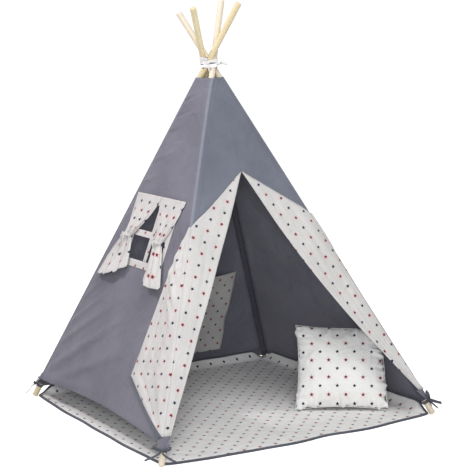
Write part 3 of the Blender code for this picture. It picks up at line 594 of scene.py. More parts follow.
# Cover: the right wall
# A plain panel of grey cotton, sewn to the front and rear walls along the poles. Its hem
# hangs in a shallow curve between them.
RIGHT_HEM_SAG = 0.056
wall = lay_wall(RIGHT_WALL, 100, 90, lambda u: HEM_HEIGHT - RIGHT_HEM_SAG * sin(pi * u) ** 0.15)
add_cloth(
    "plain_wall", wall, GREY_COTTON, "right_frame", "right_wall",
    wall_normal(*RIGHT_WALL),
)

# Cover: the rear wall
# A plain panel with a hem that hangs a little. It is two halves here, because each half
# crumples towards its own poles when the frame folds.
REAR_HEM_SAG = 0.046


def folds_with(piece, side):
    """Gives the piece a mesh of its own. Nothing here makes the cloth crumple towards the side wall
    as the frames fold.
    """
    axis = wall_normal(f"front_{side}", f"rear_{side}")
    anchor = cover_corner(f"front_{side}", HEM_HEIGHT)
    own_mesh(piece)


def rear_hem(u):
    return HEM_HEIGHT - REAR_HEM_SAG * sin(pi * u / 2) ** 0.15


for side, far in (("left", "right"), ("right", "left")):
    wall = lay_wall((f"rear_{side}", f"rear_{far}"), 50, 80, rear_hem, lambda z: 0.5)
    half = add_cloth(
        f"back_panel_{side}", wall, GREY_COTTON, f"{side}_frame", f"rear_wall_{side}",
        wall_normal(*REAR_WALL),
    )
    folds_with(half, side)

# Cover: the front wall
# Grey cotton above the door, and a strip down each side of it. It is two halves here for
# the same reason. The door's edges run from the top point to the poles' feet.
DOOR_APEX_HEIGHT = 1.008
DOOR_FOOT_WIDTH = 0.022
DOOR_ROWS = 0.7
# Painted light: the front wall's grey cotton is a cooler, slightly darker copy of the walls' grey,
# for the cooler light that falls on this side. It also has the painted highlight along the poles.
COOL_LIT_GREY = cotton("cool_lit_grey_cotton", (0.170, 0.181, 0.222), (0.142, 0.151, 0.188), pole_highlight=0.6)
OPPOSITE = {"front_left": "front_right", "front_right": "front_left"}


def share_at(start, end, axis, value, z, layer=0):
    """The share along a wall at which X or Y has a value."""
    low = cover_corner(start, z, layer)[axis]
    high = cover_corner(end, z, layer)[axis]
    return (value - low) / (high - low)


def door_line(corner):
    """The top and the foot of the door's edge beside one front pole."""
    ends = (corner, OPPOSITE[corner])
    high, high_across = (cover_corner(end, DOOR_APEX_HEIGHT, 1) for end in ends)
    foot, foot_across = (cover_corner(end, HEM_HEIGHT, 1) for end in ends)
    toward = (foot_across - foot).normalized()
    return high.lerp(high_across, 0.5), foot + toward * DOOR_FOOT_WIDTH


def door_edge_x(corner, z):
    apex, foot = door_line(corner)
    return apex.x + (foot.x - apex.x) * (z - apex.z) / (foot.z - apex.z)


def door_share(corner, z):
    if z >= DOOR_APEX_HEIGHT:
        return 0.5
    return share_at(corner, OPPOSITE[corner], 0, door_edge_x(corner, z), z)


def door_height(hem, v):
    """The height of a row. Most rows lie beside the door."""
    if v < DOOR_ROWS:
        return hem + (DOOR_APEX_HEIGHT - hem) * v / DOOR_ROWS
    return mix(DOOR_APEX_HEIGHT, TOP_EDGE_HEIGHT, (v - DOOR_ROWS) / (1 - DOOR_ROWS))


for corner, other in OPPOSITE.items():
    side = corner.split("_")[1]
    wall = lay_wall(
        (corner, other), 40, 130, far=lambda z: door_share(corner, z), height=door_height
    )
    half = add_cloth(
        f"door_panel_{side}", wall, COOL_LIT_GREY, BODY[corner], f"front_wall_{side}",
        wall_normal(*FRONT_WALL),
    )
    folds_with(half, side)

# Door flaps
# Each is one large piece of star-print cotton, sewn to the door's edge, folded back over
# the front wall and on round the pole. Its free corner lies on the side wall.
FLAP_TOP_HEIGHT = 0.82
FLAP_FOOT_HEIGHT = 0.105
FLAP_FOOT_REACH = 0.006
FLAP_CORNER_HEIGHT = 0.252
FLAP_CORNER_REACH = 0.30
FLAP_CORNER_SHARE = 0.7
FLAP_EDGE_BOW = 0.012
RIGHT_EDGE_BOW = 0.046
FLAP_FOLD = 0.0085
FLAP_RIPPLE = 0.0035
TURNED_EDGE = 0.009
STAR_REPEAT = 0.070
STAR_RADIUS = 0.0080
WHITE_OVER_GREY = ((0.625, 0.610, 0.600), (0.575, 0.562, 0.554))
WHITE_FILLED = ((0.88, 0.87, 0.86), (0.83, 0.82, 0.81))
NAVY = (0.011, 0.013, 0.042)
DARK_RED = (0.17, 0.010, 0.022)
RED_HALO = (0.74, 0.42, 0.42)
WHITE_STITCH = (0.5, 0.49, 0.47)


def star_distance(tree, x, y, shift):
    """1 on the outline of the nearest star of a square repeat, less inside it."""
    half = STAR_REPEAT / 2
    x, y = (calc(tree, "WRAP", calc(tree, "ADD", way, shift), half, -half) for way in (x, y))
    squares = [calc(tree, "POWER", way, 2.0) for way in (x, y)]
    reach = calc(tree, "SQRT", calc(tree, "ADD", *squares))
    turn = calc(tree, "SUBTRACT", calc(tree, "ARCTAN2", y, x), pi / 2)
    point = calc(tree, "ABSOLUTE", calc(tree, "WRAP", turn, pi / 5, -pi / 5))
    inner = STAR_RADIUS * 0.5
    limit = STAR_RADIUS * inner * sin(pi / 5)
    parts = []
    for way, slope in (
        ("COSINE", inner * sin(pi / 5)),
        ("SINE", STAR_RADIUS - inner * cos(pi / 5)),
    ):
        part = calc(tree, "MULTIPLY", reach, calc(tree, way, point))
        parts.append(calc(tree, "MULTIPLY", part, slope / limit))
    return calc(tree, "ADD", *parts)


def star_cotton(name, white, turn=None, shift=(0.0, 0.0), crinkle=0.3):
    """White cotton printed with small navy and dark red stars in alternate rows.

    The print follows the map "flat", or the place turned into the piece's own plane.
    A single layer over the grey cover looks a little greyer than a filled piece.
    """
    finish, tree = blank_finish(name)
    place = add_node(tree, "TexCoord", {}, OBJECT_OUTPUT)
    edges = add_node(tree, "UVMap", {}, uv_map="edges")
    if turn is None:
        flat = add_node(tree, "UVMap", {}, uv_map="flat")
    else:
        flat = add_node(tree, "Mapping", {"Vector": place, "Rotation": turn})
    x, y = (calc(tree, "ADD", way, by) for way, by in zip(split(tree, flat), shift))
    navy, red = (star_distance(tree, x, y, by) for by in (0.0, STAR_REPEAT / 2))
    colour = blend(tree, ramp(tree, clouds(tree, place, 7.0, 3.0), 0.3, 0.7), *white)
    halo = calc(tree, "MULTIPLY", fall(tree, red, 1.0, 3.0), 0.30)
    colour = blend(tree, halo, colour, RED_HALO)
    for distance, ink in ((navy, NAVY), (red, DARK_RED)):
        colour = blend(tree, fall(tree, distance, 0.9, 1.15), colour, ink)
    stitches = stitched(tree, edges, flat, TURNED_EDGE, TURNED_EDGE)
    colour = blend(tree, calc(tree, "MULTIPLY", stitches, 0.5), colour, WHITE_STITCH)
    weave(tree, colour, flat, place, stitches, crinkle, 0.85, 0.08, 0.5)
    return finish


STAR_COTTON = star_cotton("star_cotton", WHITE_OVER_GREY)
FILLED_COTTON = star_cotton("filled_cotton", WHITE_FILLED)


def flap_print(corner, other, behind):
    """Metres on the flap's cut: it unrolls round the pole and back over the door's edge."""
    front = on_plane(*FRONT_WALL)
    foot = cover_corner(corner, FLAP_FOOT_HEIGHT, 1)
    top = cover_corner(corner, FLAP_TOP_HEIGHT, 1)
    run = (top - foot).normalized()
    line_foot = Vector(front(foot))
    line = (Vector(front(top)) - line_foot).normalized()
    inward = Vector((-line.y, line.x))
    if inward.x * SIDE[other][0] < 0:
        inward = -inward
    apex, door_foot = (Vector(front(end)) for end in door_line(corner))
    hinge = (door_foot - apex).normalized()
    middle = (level_normal(corner, other, 0.4) + level_normal(corner, behind, 0.4)).normalized()
    over_door = middle.cross(run) * SIDE[other][0]

    def at(point):
        along = (point - foot).dot(run)
        off = point - foot - run * along
        reach = off.length if off.dot(over_door) > 0 else -off.length
        spot = line_foot + line * along + inward * reach - apex
        mirrored = hinge * (2 * spot.dot(hinge)) - spot
        return mirrored.x, mirrored.y

    return at


def loose(corner, along, u):
    """The flap's own soft lengthwise folds, always outward."""
    seed = 3.1 if corner == "front_left" else 9.4
    ripples = soft(u * 8 + along * 3, along * 5, seed + 4)
    return FLAP_FOLD * abs(soft(u * 3.5, along * 1.4, seed)) + FLAP_RIPPLE * abs(ripples)


def low_edge(corner, along):
    """Y and Z on the flap's lower free edge, from its corner down to its foot."""
    tip_y = cover_corner(corner, FLAP_CORNER_HEIGHT, 1).y + FLAP_CORNER_REACH
    foot_y = cover_corner(corner, FLAP_FOOT_HEIGHT, 1).y + FLAP_FOOT_REACH
    y = mix(tip_y, foot_y, along) + FLAP_EDGE_BOW * sin(pi * along)
    return y, mix(FLAP_CORNER_HEIGHT, FLAP_FOOT_HEIGHT, along)


for corner, other in OPPOSITE.items():
    side = corner.split("_")[1]
    behind = f"rear_{side}"
    bow = RIGHT_EDGE_BOW if side == "right" else 0.0
    top_y = cover_corner(corner, FLAP_TOP_HEIGHT, 1).y + FLAP_FOOT_REACH

    def door_part(u, v):
        v = 1 - v
        across = 1 - crowded(1 - u, 0.30 - 0.25 * v, False)
        door_z = mix(DOOR_APEX_HEIGHT, FLAP_FOOT_HEIGHT, v)
        pole_z = mix(FLAP_TOP_HEIGHT, FLAP_FOOT_HEIGHT, v)
        door_x = door_edge_x(corner, door_z) + SIDE[other][0] * bow * sin(pi * v)
        x = mix(door_x, cover_corner(corner, pole_z, 1).x, across)
        z = mix(door_z, pole_z, across)
        roll = 0.0035 * exp(-((across / 0.08) ** 2)) * min(1, v * 8)
        fade = min(1, 6 * (1 - across)) * min(1, 12 * v)
        share = max(share_at(corner, other, 0, x, z, 1), 0)
        return on_cover(corner, other, share, z, 1, roll + loose(corner, v, across) * fade)

    def side_part(u, v):
        v = 1 - v
        pole_z = mix(FLAP_TOP_HEIGHT, FLAP_FOOT_HEIGHT, v)
        pole_y = cover_corner(corner, pole_z, 1).y
        if v < FLAP_CORNER_SHARE:
            along = v / FLAP_CORNER_SHARE
            far_y = mix(top_y, low_edge(corner, 0)[0], along)
            far_z = mix(FLAP_TOP_HEIGHT, FLAP_CORNER_HEIGHT, along)
        else:
            far_y, far_z = low_edge(corner, (v - FLAP_CORNER_SHARE) / (1 - FLAP_CORNER_SHARE))
        across = crowded(u, max(far_y - pole_y, 0.03), False)
        z = mix(pole_z, far_z, across)
        share = max(share_at(corner, behind, 1, mix(pole_y, far_y, across), z, 1), 0)
        lift = loose(corner, v, 1 + across) * min(1, 5 * across) + 0.002 * across
        return on_cover(corner, behind, share, z, 1, lift)

    printed = flap_print(corner, other, behind)
    for part, level, place, wall, flat_size, area, rests in (
        ("front", "inner", door_part, FRONT_WALL, (0.24, 0.98), 0.10, f"door_panel_{side}"),
        ("side", "outer", side_part, (corner, behind), (0.34, 0.80), 0.12, f"channel_{corner}"),
    ):
        cloth = lay(30, 60, place, (0.24, 0.85), printed)
        bmesh.ops.remove_doubles(cloth, verts=cloth.verts[:], dist=0.00005)
        flap = add_cloth(
            f"door_flap_{side}_{part}", cloth, STAR_COTTON, f"flap_{side}_{level}",
            f"flap_{side}_{part}", wall_normal(*wall),
        )
        folds_with(flap, side)

# Flap hem
# The left flap's lower free edge is bound with a strip of grey cotton, which is sewn on
# along its upper edge and widens towards the foot.
FLAP_HEM_WIDTH = 0.017
FLAP_HEM_FLAT = (0.33, 0.019)
HEM_GREY = cotton("hem_grey_cotton", (0.125, 0.135, 0.160), (0.105, 0.113, 0.135))


def flap_hem_place(u, v):
    y, z = low_edge("front_left", u)
    width = FLAP_HEM_WIDTH * (0.6 + 0.9 * u)
    share = share_at(*LEFT_WALL, 1, y + width * (v + 0.05), z, 1)
    fold = 0.0005 * soft(u * 14, v * 2, 1.0)
    return on_cover(*LEFT_WALL, share, z - width * 0.5 * (v + 0.05), 2, 0.0022 + fold)


band = lay(50, 4, flap_hem_place, FLAP_HEM_FLAT)
flap_hem = add_cloth(
    "flap_hem", band, HEM_GREY, "flap_left_outer", None,
    wall_normal(*LEFT_WALL), 0.0008,
)
folds_with(flap_hem, "left")

# Corner gathers
# At each foot the cover's grey corner is left a little long and is gathered on the pole,
# just above the foot's tie.
GATHER_LOW = 0.062
GATHER_HIGH = 0.104
REAR_RIGHT_HANG = 0.053
GATHER_PLEATS = 5.5
for corner in FEET:
    sides = neighbours(corner)
    hang = REAR_RIGHT_HANG if corner == "rear_right" else 0

    def place(u, v):
        z = mix(GATHER_LOW - hang, GATHER_HIGH, v)
        reach = (0.016 + 0.018 * v + hang * (1 - 0.6 * v)) * abs(2 * u - 1)
        fold = 0.5 + 0.5 * sin(2 * pi * (GATHER_PLEATS * u + 0.35 * v) + SIDE[corner][0])
        lift = 0.0012 + 0.0032 * fold * (1 - 0.45 * v)
        droop = 0.008 * soft(u * 4, *SIDE[corner]) * (1 - v)
        other = sides[0] if u < 0.5 else sides[1]
        return on_cover(corner, other, reach / wall_width(z), z + droop, 0, CLOTH + lift)

    flat_size = (0.078 + 0.6 * hang, 0.045 + hang)
    add_cloth(
        f"gather_{corner}", lay(60, 14, place, flat_size), GREY_COTTON, BODY[corner], None,
        Vector((*SIDE[corner], 0)), THIN_CLOTH,
    )

# Window border and cross
# Four strips of star cotton are sewn flat round the window, and three more make a cross
# in it. All are the wall's own slope, one layer out.
WINDOW_BORDER = 0.028
MUNTIN_LOW = -0.034
MUNTIN_HIGH = -0.010
BAR_LOW = 0.745
BAR_HIGH = 0.769
OUTER_LOW = WINDOW_LOW - WINDOW_BORDER
OUTER_HIGH = WINDOW_HIGH + WINDOW_BORDER
OUTER_BOTTOM = WINDOW_BOTTOM - WINDOW_BORDER
OUTER_TOP = WINDOW_TOP + WINDOW_BORDER
WINDOW_NORMAL = wall_normal(*LEFT_WALL)


def window_point(y, z, layer=1, lift=0.0):
    return on_cover(*LEFT_WALL, share_at(*LEFT_WALL, 1, y, z, layer), z, layer, lift)


for name, node, low_y, high_y, low_z, high_z in (
    ("trim_top", "window_border_top", WINDOW_LOW, WINDOW_HIGH, WINDOW_TOP, OUTER_TOP),
    ("trim_bottom", "window_border_bottom", WINDOW_LOW, WINDOW_HIGH, OUTER_BOTTOM, WINDOW_BOTTOM),
    ("trim_front", "window_border_front", OUTER_LOW, WINDOW_LOW, OUTER_BOTTOM, OUTER_TOP),
    ("trim_rear", "window_border_rear", WINDOW_HIGH, OUTER_HIGH, OUTER_BOTTOM, OUTER_TOP),
    ("cross_upright", "muntin_upright", MUNTIN_LOW, MUNTIN_HIGH, WINDOW_BOTTOM, WINDOW_TOP),
    ("cross_front", "muntin_front", WINDOW_LOW, MUNTIN_LOW, BAR_LOW, BAR_HIGH),
    ("cross_rear", "muntin_rear", MUNTIN_HIGH, WINDOW_HIGH, BAR_LOW, BAR_HIGH),
):
    size = (high_y - low_y, high_z - low_z)

    def place(u, v):
        rim = (2 * min(u, 1 - u, 0.5)) ** 0.5 * (2 * min(v, 1 - v, 0.5)) ** 0.5
        turned = 0.0007 * (1 - rim)
        return window_point(low_y + size[0] * u, low_z + size[1] * v, 1, 0.0006 - turned)

    strip = lay(16, 16, place, size, on_plane(*LEFT_WALL))
    add_cloth(
        name, strip, STAR_COTTON, "left_frame", node,
        WINDOW_NORMAL,
    )

# Curtains
# Two panels of star cotton hang over the window from a shared top edge. Each is drawn
# aside and gathered by a tape at its middle, and its skirt flares below that.
CURTAIN_TOP = 0.907
CURTAIN_MIDDLE = -0.004
CURTAIN_STEP = 0.095
CURTAIN_HALF = 0.0944
CURTAIN_DEPTH = 0.0030
TIE_HEIGHT = 0.737
TIE_SHARE = 0.46
TIE_HALF = 0.021
TIE_DEPTH = 0.022
PLEATS = 2.6
DIRECTION = {"front": -1, "rear": 1}
TIE_Y = {"front": CURTAIN_MIDDLE - 0.095, "rear": CURTAIN_MIDDLE + 0.155}
# Each skirt: its hem's middle, length, flare and belly, its slant and where that is level.
SKIRT = {
    "front": (CURTAIN_MIDDLE - 0.146, 0.152, 0.052, 0.014, -0.014, 0.5),
    "rear": (CURTAIN_MIDDLE + 0.200, 0.144, 0.092, 0.018, 0.055, 0.45),
}


def curtain_at(name, u, v):
    """A point of a curtain: u runs towards the rear and v from the hem up to the top."""
    direction = DIRECTION[name]
    if v > TIE_SHARE:
        down = (1 - v) / (1 - TIE_SHARE)
        draw = down**1.5
        middle = mix(CURTAIN_MIDDLE + direction * CURTAIN_STEP, TIE_Y[name], draw)
        z = mix(CURTAIN_TOP, TIE_HEIGHT, down)
        half = mix(CURTAIN_HALF, TIE_HALF, draw)
        depth = mix(CURTAIN_DEPTH, TIE_DEPTH, draw)
        gather = 0.06 + 0.94 * draw**0.8
        lift = 0.0045 * draw
    else:
        hem_y, length, flare, belly, slant, level = SKIRT[name]
        drop = 1 - v / TIE_SHARE
        opened = drop**0.8
        middle = mix(TIE_Y[name], hem_y, drop)
        z = TIE_HEIGHT - (length + slant * (u - level) + belly * sin(pi * u)) * drop
        half = TIE_HALF + flare * opened
        depth = TIE_DEPTH + 0.014 * opened
        gather = 1 - 0.35 * drop
        lift = 0.0045 + 0.004 * drop
    tightness = 1 - abs(v - TIE_SHARE) / max(TIE_SHARE, 1 - TIE_SHARE)
    drift = 0.30 * soft(u * 1.7, v * 1.3, direction * 3.0)
    wave = 0.5 - 0.5 * cos(2 * pi * PLEATS * (u + drift / PLEATS) + 1.3 * direction)
    rim = min(1.0, 6 * u + 0.05, 6 * (1 - u) + 0.05)
    sway = soft(u * 3, v * 2.5, direction * 5.0)
    out = depth * rim * (0.30 + 0.70 * wave * gather * (0.75 + 0.6 * sway))
    out += abs(0.0020 * soft(u * 9, 0.5, direction) * max(0, v - 0.9) * 10)
    y = middle + half * (2 * u - 1)
    y += half / PLEATS * 0.35 * sin(4 * pi * PLEATS * u) * tightness
    return window_point(y, z, 2) + WINDOW_NORMAL * (lift + out)


for name in DIRECTION:
    cloth = lay(90, 70, lambda u, v: curtain_at(name, u, v), (0.19, 0.31))
    add_cloth(
        f"drape_{name}", cloth, STAR_COTTON, "left_frame", f"curtain_{name}",
        WINDOW_NORMAL, THIN_CLOTH,
    )

# Curtain ties
# A narrow tape of the same cotton goes round each gathered curtain and is tied on its
# outer face. Its two short ends hang down from there.
TIE_FLAT = (0.105, 0.013)
TIE_THICKNESS = 0.0011
TAIL_THICKNESS = 0.0010
# The tails' middle lines: across, up and out from the tie.
TAPE_ENDS = {
    "rear": (
        (0, 0, 0.030), (-0.012, -0.012, 0.036), (-0.016, -0.030, 0.034), (-0.012, -0.046, 0.028),
    ),
    "front": (
        (0, 0, 0.030), (0.012, -0.010, 0.037), (0.018, -0.024, 0.036), (0.016, -0.040, 0.030),
    ),
}


def blunted(value, power):
    return abs(value) ** power * (1 if value > 0 else -1)


def smooth_path(points, steps):
    """A soft curve through the given points."""
    path = []
    ends = [points[0], *points, points[-1]]
    for before, first, last, after in zip(ends, ends[1:], ends[2:], ends[3:]):
        for step in range(steps):
            t = step / steps
            bend = (before * 2 - first * 5 + last * 4 - after) * t**2
            twist = (first * 3 - before - last * 3 + after) * t**3
            path.append(0.5 * (first * 2 + (last - before) * t + bend + twist))
    return [*path, points[-1]]


def ribbon(points, wide, width, steps=5):
    """A flat tape along a curve. wide is the direction across the tape."""
    path = smooth_path(points, steps)
    length = sum((after - before).length for before, after in zip(path, path[1:]))
    last = len(path) - 1

    def place(u, v):
        index = round(u * last)
        along = (path[min(index + 1, last)] - path[max(index - 1, 0)]).normalized()
        across = (wide - along * wide.dot(along)).normalized()
        cup = along.cross(across) * (0.0006 * (1 - (2 * v - 1) ** 2))
        return path[index] + across * (width * (v - 0.5)) + cup

    return lay(last, 4, place, (length, width))


for name in DIRECTION:

    def place(u, v):
        wide, deep = blunted(cos(2 * pi * u), 0.55), blunted(sin(2 * pi * u), 0.55)
        size = (max(abs(wide), abs(deep)) + sqrt(wide * wide + deep * deep)) / 2
        z = TIE_HEIGHT + TIE_FLAT[1] * (v - 0.5)
        reach = (TIE_HALF + 0.002) * (1 + 0.04 * sin(pi * v)) * wide / size
        out = 0.017 + 0.0145 * deep / size
        return window_point(TIE_Y[name] + reach, z, 2) + WINDOW_NORMAL * out

    band = lay(40, 5, place, TIE_FLAT)
    close_ring(band)
    add_cloth(
        f"tape_{name}", band, STAR_COTTON, "left_frame", f"curtain_tie_{name}",
        thickness=TIE_THICKNESS,
    )
    for end, side, hang in (("long", 1, 1), ("short", -0.6, 0.62)):
        points = []
        for across, rise, out in TAPE_ENDS[name]:
            seat = window_point(TIE_Y[name] + across * side, TIE_HEIGHT + rise * hang, 2)
            points.append(seat + WINDOW_NORMAL * out)
        tape = ribbon(points, Vector((0, 1, 0.15)).normalized(), 0.0085)
        tail = add_piece(f"tape_end_{name}_{end}", tape, STAR_COTTON, "left_frame")
        thicken(tail, TAIL_THICKNESS, 0.0)

# Pocket
# A square of star cotton is sewn inside the rear wall by its sides and bottom.
# Its top edge is open and hangs a little away from the wall.
POCKET_LEFT = 0.025
POCKET_WIDTH = 0.32
POCKET_BOTTOM = 0.078
POCKET_HEIGHT = 0.39
POCKET_FLAT = (0.34, 0.41)


def pocket_place(u, v):
    z = POCKET_BOTTOM + POCKET_HEIGHT * v - 0.010 * sin(pi * u) * v**4
    share = share_at(*REAR_WALL, 0, POCKET_LEFT + POCKET_WIDTH * u, z)
    belly = 0.022 * sin(pi * u) ** 0.7 * v**0.8
    sway = 0.003 * soft(u * 4, v * 4, 2.0) * sin(pi * u) * v
    return on_cover(*REAR_WALL, share, z, 0, -GAP - belly - abs(sway))


pocket = add_cloth(
    "pocket", lay(40, 44, pocket_place, POCKET_FLAT), STAR_COTTON, "right_frame", "rear_pocket",
    -wall_normal(*REAR_WALL),
)
folds_with(pocket, "right")

# Mat
# A thin padded square of star cotton. The rear and right edges curl up where the walls
# stop them. It is two halves here, which meet under the crown, because it folds there.
MAT_THICKNESS = 0.009
MAT_UNDERSIDE = 0.0006
MAT_BINDING = 0.011
MAT_CURL_WIDTH = 0.033
MAT_CURL_RISE = 0.034
# Each side: the foot at which it starts, and how far it reaches beyond the feet.
MAT_SIDES = {
    "front": ("front_left", 0.034),
    "right": ("front_right", -0.007),
    "rear": ("rear_right", -0.007),
    "left": ("rear_left", 0.006),
}
FRONT_X = (FEET["front_left"][0], FEET["front_right"][0])
MAT_FOLD = (CROWN_CENTRE[0] - FRONT_X[0]) / (FRONT_X[1] - FRONT_X[0])
MAT_SPAN = {"left": (0.0, MAT_FOLD), "right": (MAT_FOLD, 1.0)}


def mat_edge(side, share, inset):
    """One side of the mat, bowed towards its reach beyond the line of the poles' feet."""
    start, reach = MAT_SIDES[side]
    first, last = (Vector((*FEET[foot], 0)) for foot in (start, neighbours(start)[1]))
    along = (last - first).normalized()
    lean = max(pole_direction(corner).angle(UP) for corner in FEET)
    back = (POLE_RADIUS / cos(lean) + MAT_THICKNESS * tan(lean) + GAP) / sqrt(2)
    bow = (4 * share * (1 - share)) ** 0.45
    if side in ("left", "front"):
        bow += 0.35 * soft(share * 6, 2.0 if side == "left" else 8.0, 0) * bow
    line = (first + along * (back + inset)).lerp(last - along * (back + inset), share)
    return line + along.cross(UP) * ((reach + back) * bow - back - inset)


def eased(share):
    return share * share * (3 - 2 * share)


def curl(across, along):
    """0 on the flat mat, up to 1 on an edge that curls up between two corners."""
    away = eased(min(1, min(along, 1 - along) / 0.06))
    return max((across - 1) / MAT_CURL_WIDTH + 1, 0) ** 1.5 * away


def mat_point(u, v, inset=0.0):
    """The mat's underside: u runs from left to right and v from front to rear."""
    front, rear = mat_edge("front", u, inset), mat_edge("rear", 1 - u, inset)
    left, right = mat_edge("left", 1 - v, inset), mat_edge("right", v, inset)
    near = mat_edge("front", 0, inset).lerp(mat_edge("right", 0, inset), u)
    far = mat_edge("left", 0, inset).lerp(mat_edge("rear", 0, inset), u)
    point = front.lerp(rear, v) + left.lerp(right, u) - near.lerp(far, v)
    wave = 1.08 + 0.10 * soft(u * 7, v * 7, 5.0)
    point.z = MAT_CURL_RISE * wave * max(curl(u, v), curl(v, u))
    return point


def padding(u, v):
    """The mat's upper face swells between its stitched edge and in soft low waves."""
    edge = min(u, 1 - u, v, 1 - v)
    swell = soft(u * 9, v * 9, 1.0) + 0.5 * soft(u * 26, v * 26, 3.0)
    return MAT_THICKNESS - MAT_UNDERSIDE - 0.0022 * exp(-edge / 0.008) + 0.0014 * swell


def add_shape(whole, part):
    """Adds one shape to another and lets it go."""
    mesh = as_mesh("part", part)
    whole.from_mesh(mesh)
    bpy.data.meshes.remove(mesh)


def denser(share):
    """Moves rows towards the edge that curls up."""
    return 1 - (1 - share) ** 1.15


def mat_face(side, height, outward):
    """The upper or lower face of one half. height is measured from the underside."""
    low, high = MAT_SPAN[side]
    part = Vector((0.00005 if side == "right" else -0.00005, 0, 0))

    def place(u, v):
        u, v = mix(low, high, denser(u) if side == "right" else u), denser(v)
        seam = part if u == MAT_FOLD else Vector()
        return mat_point(u, v, MAT_BINDING * 0.6) + seam + UP * height(u, v)

    face = lay(56, 96, place, (0.6, 1.2), lambda point: (point.x, point.y))
    face_outward(face, outward)
    return face


for side in MAT_SPAN:
    pad = mat_face(side, padding, UP)
    add_shape(pad, mat_face(side, lambda u, v: MAT_UNDERSIDE, -UP))
    bmesh.ops.bridge_loops(pad, edges=[edge for edge in pad.edges if edge.is_boundary])
    piece = add_piece(f"pad_{side}", pad, FILLED_COTTON, f"{side}_frame", f"mat_{side}")
    piece.data.set_sharp_from_angle(angle=radians(60))
    folds_with(piece, side)

# Mat binding
# A tape of dark grey cotton is folded over the mat's edge all round and stitched. It is
# two halves here, like the mat.
TAPE_COLOURS = ((0.105, 0.110, 0.135), (0.075, 0.080, 0.100))
TAPE_GREY = cotton("grey_tape", *TAPE_COLOURS, 0.5, slot="grey_tape")
BINDING_HALF = MAT_THICKNESS * 0.52
BINDING_PART = 0.0003


def perimeter(side, share):
    """The place on the mat's outline of one half, from the fold round to the fold."""
    span = MAT_FOLD if side == "left" else 1 - MAT_FOLD
    total = 2 * span + 1
    run = share * total
    across = min(run, span, total - run)
    along = min(max(run - span, 0), 1)
    return (MAT_FOLD - across if side == "left" else MAT_FOLD + across), along


for side in MAT_SPAN:

    def place(u, v):
        across, along = perimeter(side, u)
        near = mat_point(across, along, MAT_BINDING)
        far = mat_point(across, along, 0)
        middle = near.lerp(far, 0.5) + UP * BINDING_HALF
        if abs(across - MAT_FOLD) < 1e-9:
            middle.x += BINDING_PART if side == "right" else -BINDING_PART
        ripple = 1 + 0.06 * soft(across * 60, along * 60, 4.0)
        rise = BINDING_HALF * blunted(sin(2 * pi * v), 0.7) * ripple
        return middle + (far - near) * 0.5 * cos(2 * pi * v) + UP * rise

    tape = lay(300, 12, place, (2.4, 0.034))
    close_ring(tape)
    piece = add_piece(f"edging_{side}", tape, TAPE_GREY, f"{side}_frame", f"mat_binding_{side}")
    folds_with(piece, side)

# Cushion
# A square cover of the same star cotton, sewn from two squares and well filled. It stands
# on the mat and leans back, and one corner is pressed in by the wall.
CUSHION_WIDTH = 0.38
CUSHION_HEIGHT = 0.352
CUSHION_DEPTH = 0.12
CUSHION_DRAW_IN = 0.014
CUSHION_MIDDLE = (0.395, -0.322)
CUSHION_SWELL = 0.010
CUSHION_CLEARANCE = 0.002
CUSHION_GIVE = 0.02
CUSHION_TURN = Matrix.Rotation(radians(-36.0), 4, "Z")
CUSHION_LEAN = Matrix.Rotation(radians(-24.0), 4, "X")
CUSHION_PLACE = CUSHION_TURN @ CUSHION_LEAN
SIM_FRAMES = 20
VOXEL = 0.005


def cushion_face(side, shrink):
    def place(u, v):
        u, v = sin(pi * (u - 0.5)), sin(pi * (v - 0.5))
        across = CUSHION_WIDTH / 2 * u - CUSHION_DRAW_IN * u * (1 - v * v)
        rise = CUSHION_HEIGHT / 2 * v - CUSHION_DRAW_IN * v * (1 - u * u)
        crown = (max(0.0, (1 - u * u) * (1 - v * v))) ** 0.45
        return Vector((across, side * (CUSHION_DEPTH / 2 - shrink) * crown, rise))

    return place


def evaluated(piece):
    """The piece's mesh as its modifiers leave it."""
    depsgraph = bpy.context.evaluated_depsgraph_get()
    return bpy.data.meshes.new_from_object(piece.evaluated_get(depsgraph))


def inflate(piece):
    """Fills the cushion by a cloth simulation and keeps each point near its start."""
    remesh = piece.modifiers.new("remesh", "REMESH")
    remesh.mode = "VOXEL"
    remesh.voxel_size = VOXEL
    bpy.context.view_layer.objects.active = piece
    filled = evaluated(piece)
    piece.modifiers.remove(remesh)
    piece.data = filled
    start = [vert.co.copy() for vert in filled.vertices]
    pins = piece.vertex_groups.new(name="seam")
    for vert in filled.vertices:
        past = max(abs(vert.co.x) - CUSHION_WIDTH / 2, abs(vert.co.z) - CUSHION_HEIGHT / 2)
        if abs(vert.co.y) < 0.006 and past > -0.024:
            pins.add([vert.index], 1.0, "REPLACE")
    sim = piece.modifiers.new("cloth", "CLOTH")
    sim.settings.use_pressure = True
    sim.settings.uniform_pressure_force = 4.0
    sim.settings.effector_weights.gravity = 0
    sim.settings.vertex_group_mass = "seam"
    sim.settings.quality = 5
    sim.point_cache.frame_start = 1
    sim.point_cache.frame_end = SIM_FRAMES
    for step in range(1, SIM_FRAMES + 1):
        bpy.context.scene.frame_set(step)
    blown = evaluated(piece)
    piece.modifiers.remove(sim)
    piece.vertex_groups.clear()
    for vert, begin in zip(blown.vertices, start):
        move = vert.co - begin
        if move.length > CUSHION_SWELL:
            vert.co = begin + move * (CUSHION_SWELL / move.length)
    piece.data = blown
    bpy.context.scene.frame_set(1)


def pressed(point):
    """A point of the cushion, held back where the right wall presses on it."""
    normal = wall_normal(*RIGHT_WALL)
    room = (cover_corner("front_right", HEM_HEIGHT) - point).dot(normal)
    spare = (room - CUSHION_CLEARANCE) / CUSHION_GIVE
    kept = CUSHION_CLEARANCE + CUSHION_GIVE * (spare if spare > 20 else log1p(exp(spare)))
    return point - normal * (kept - room)


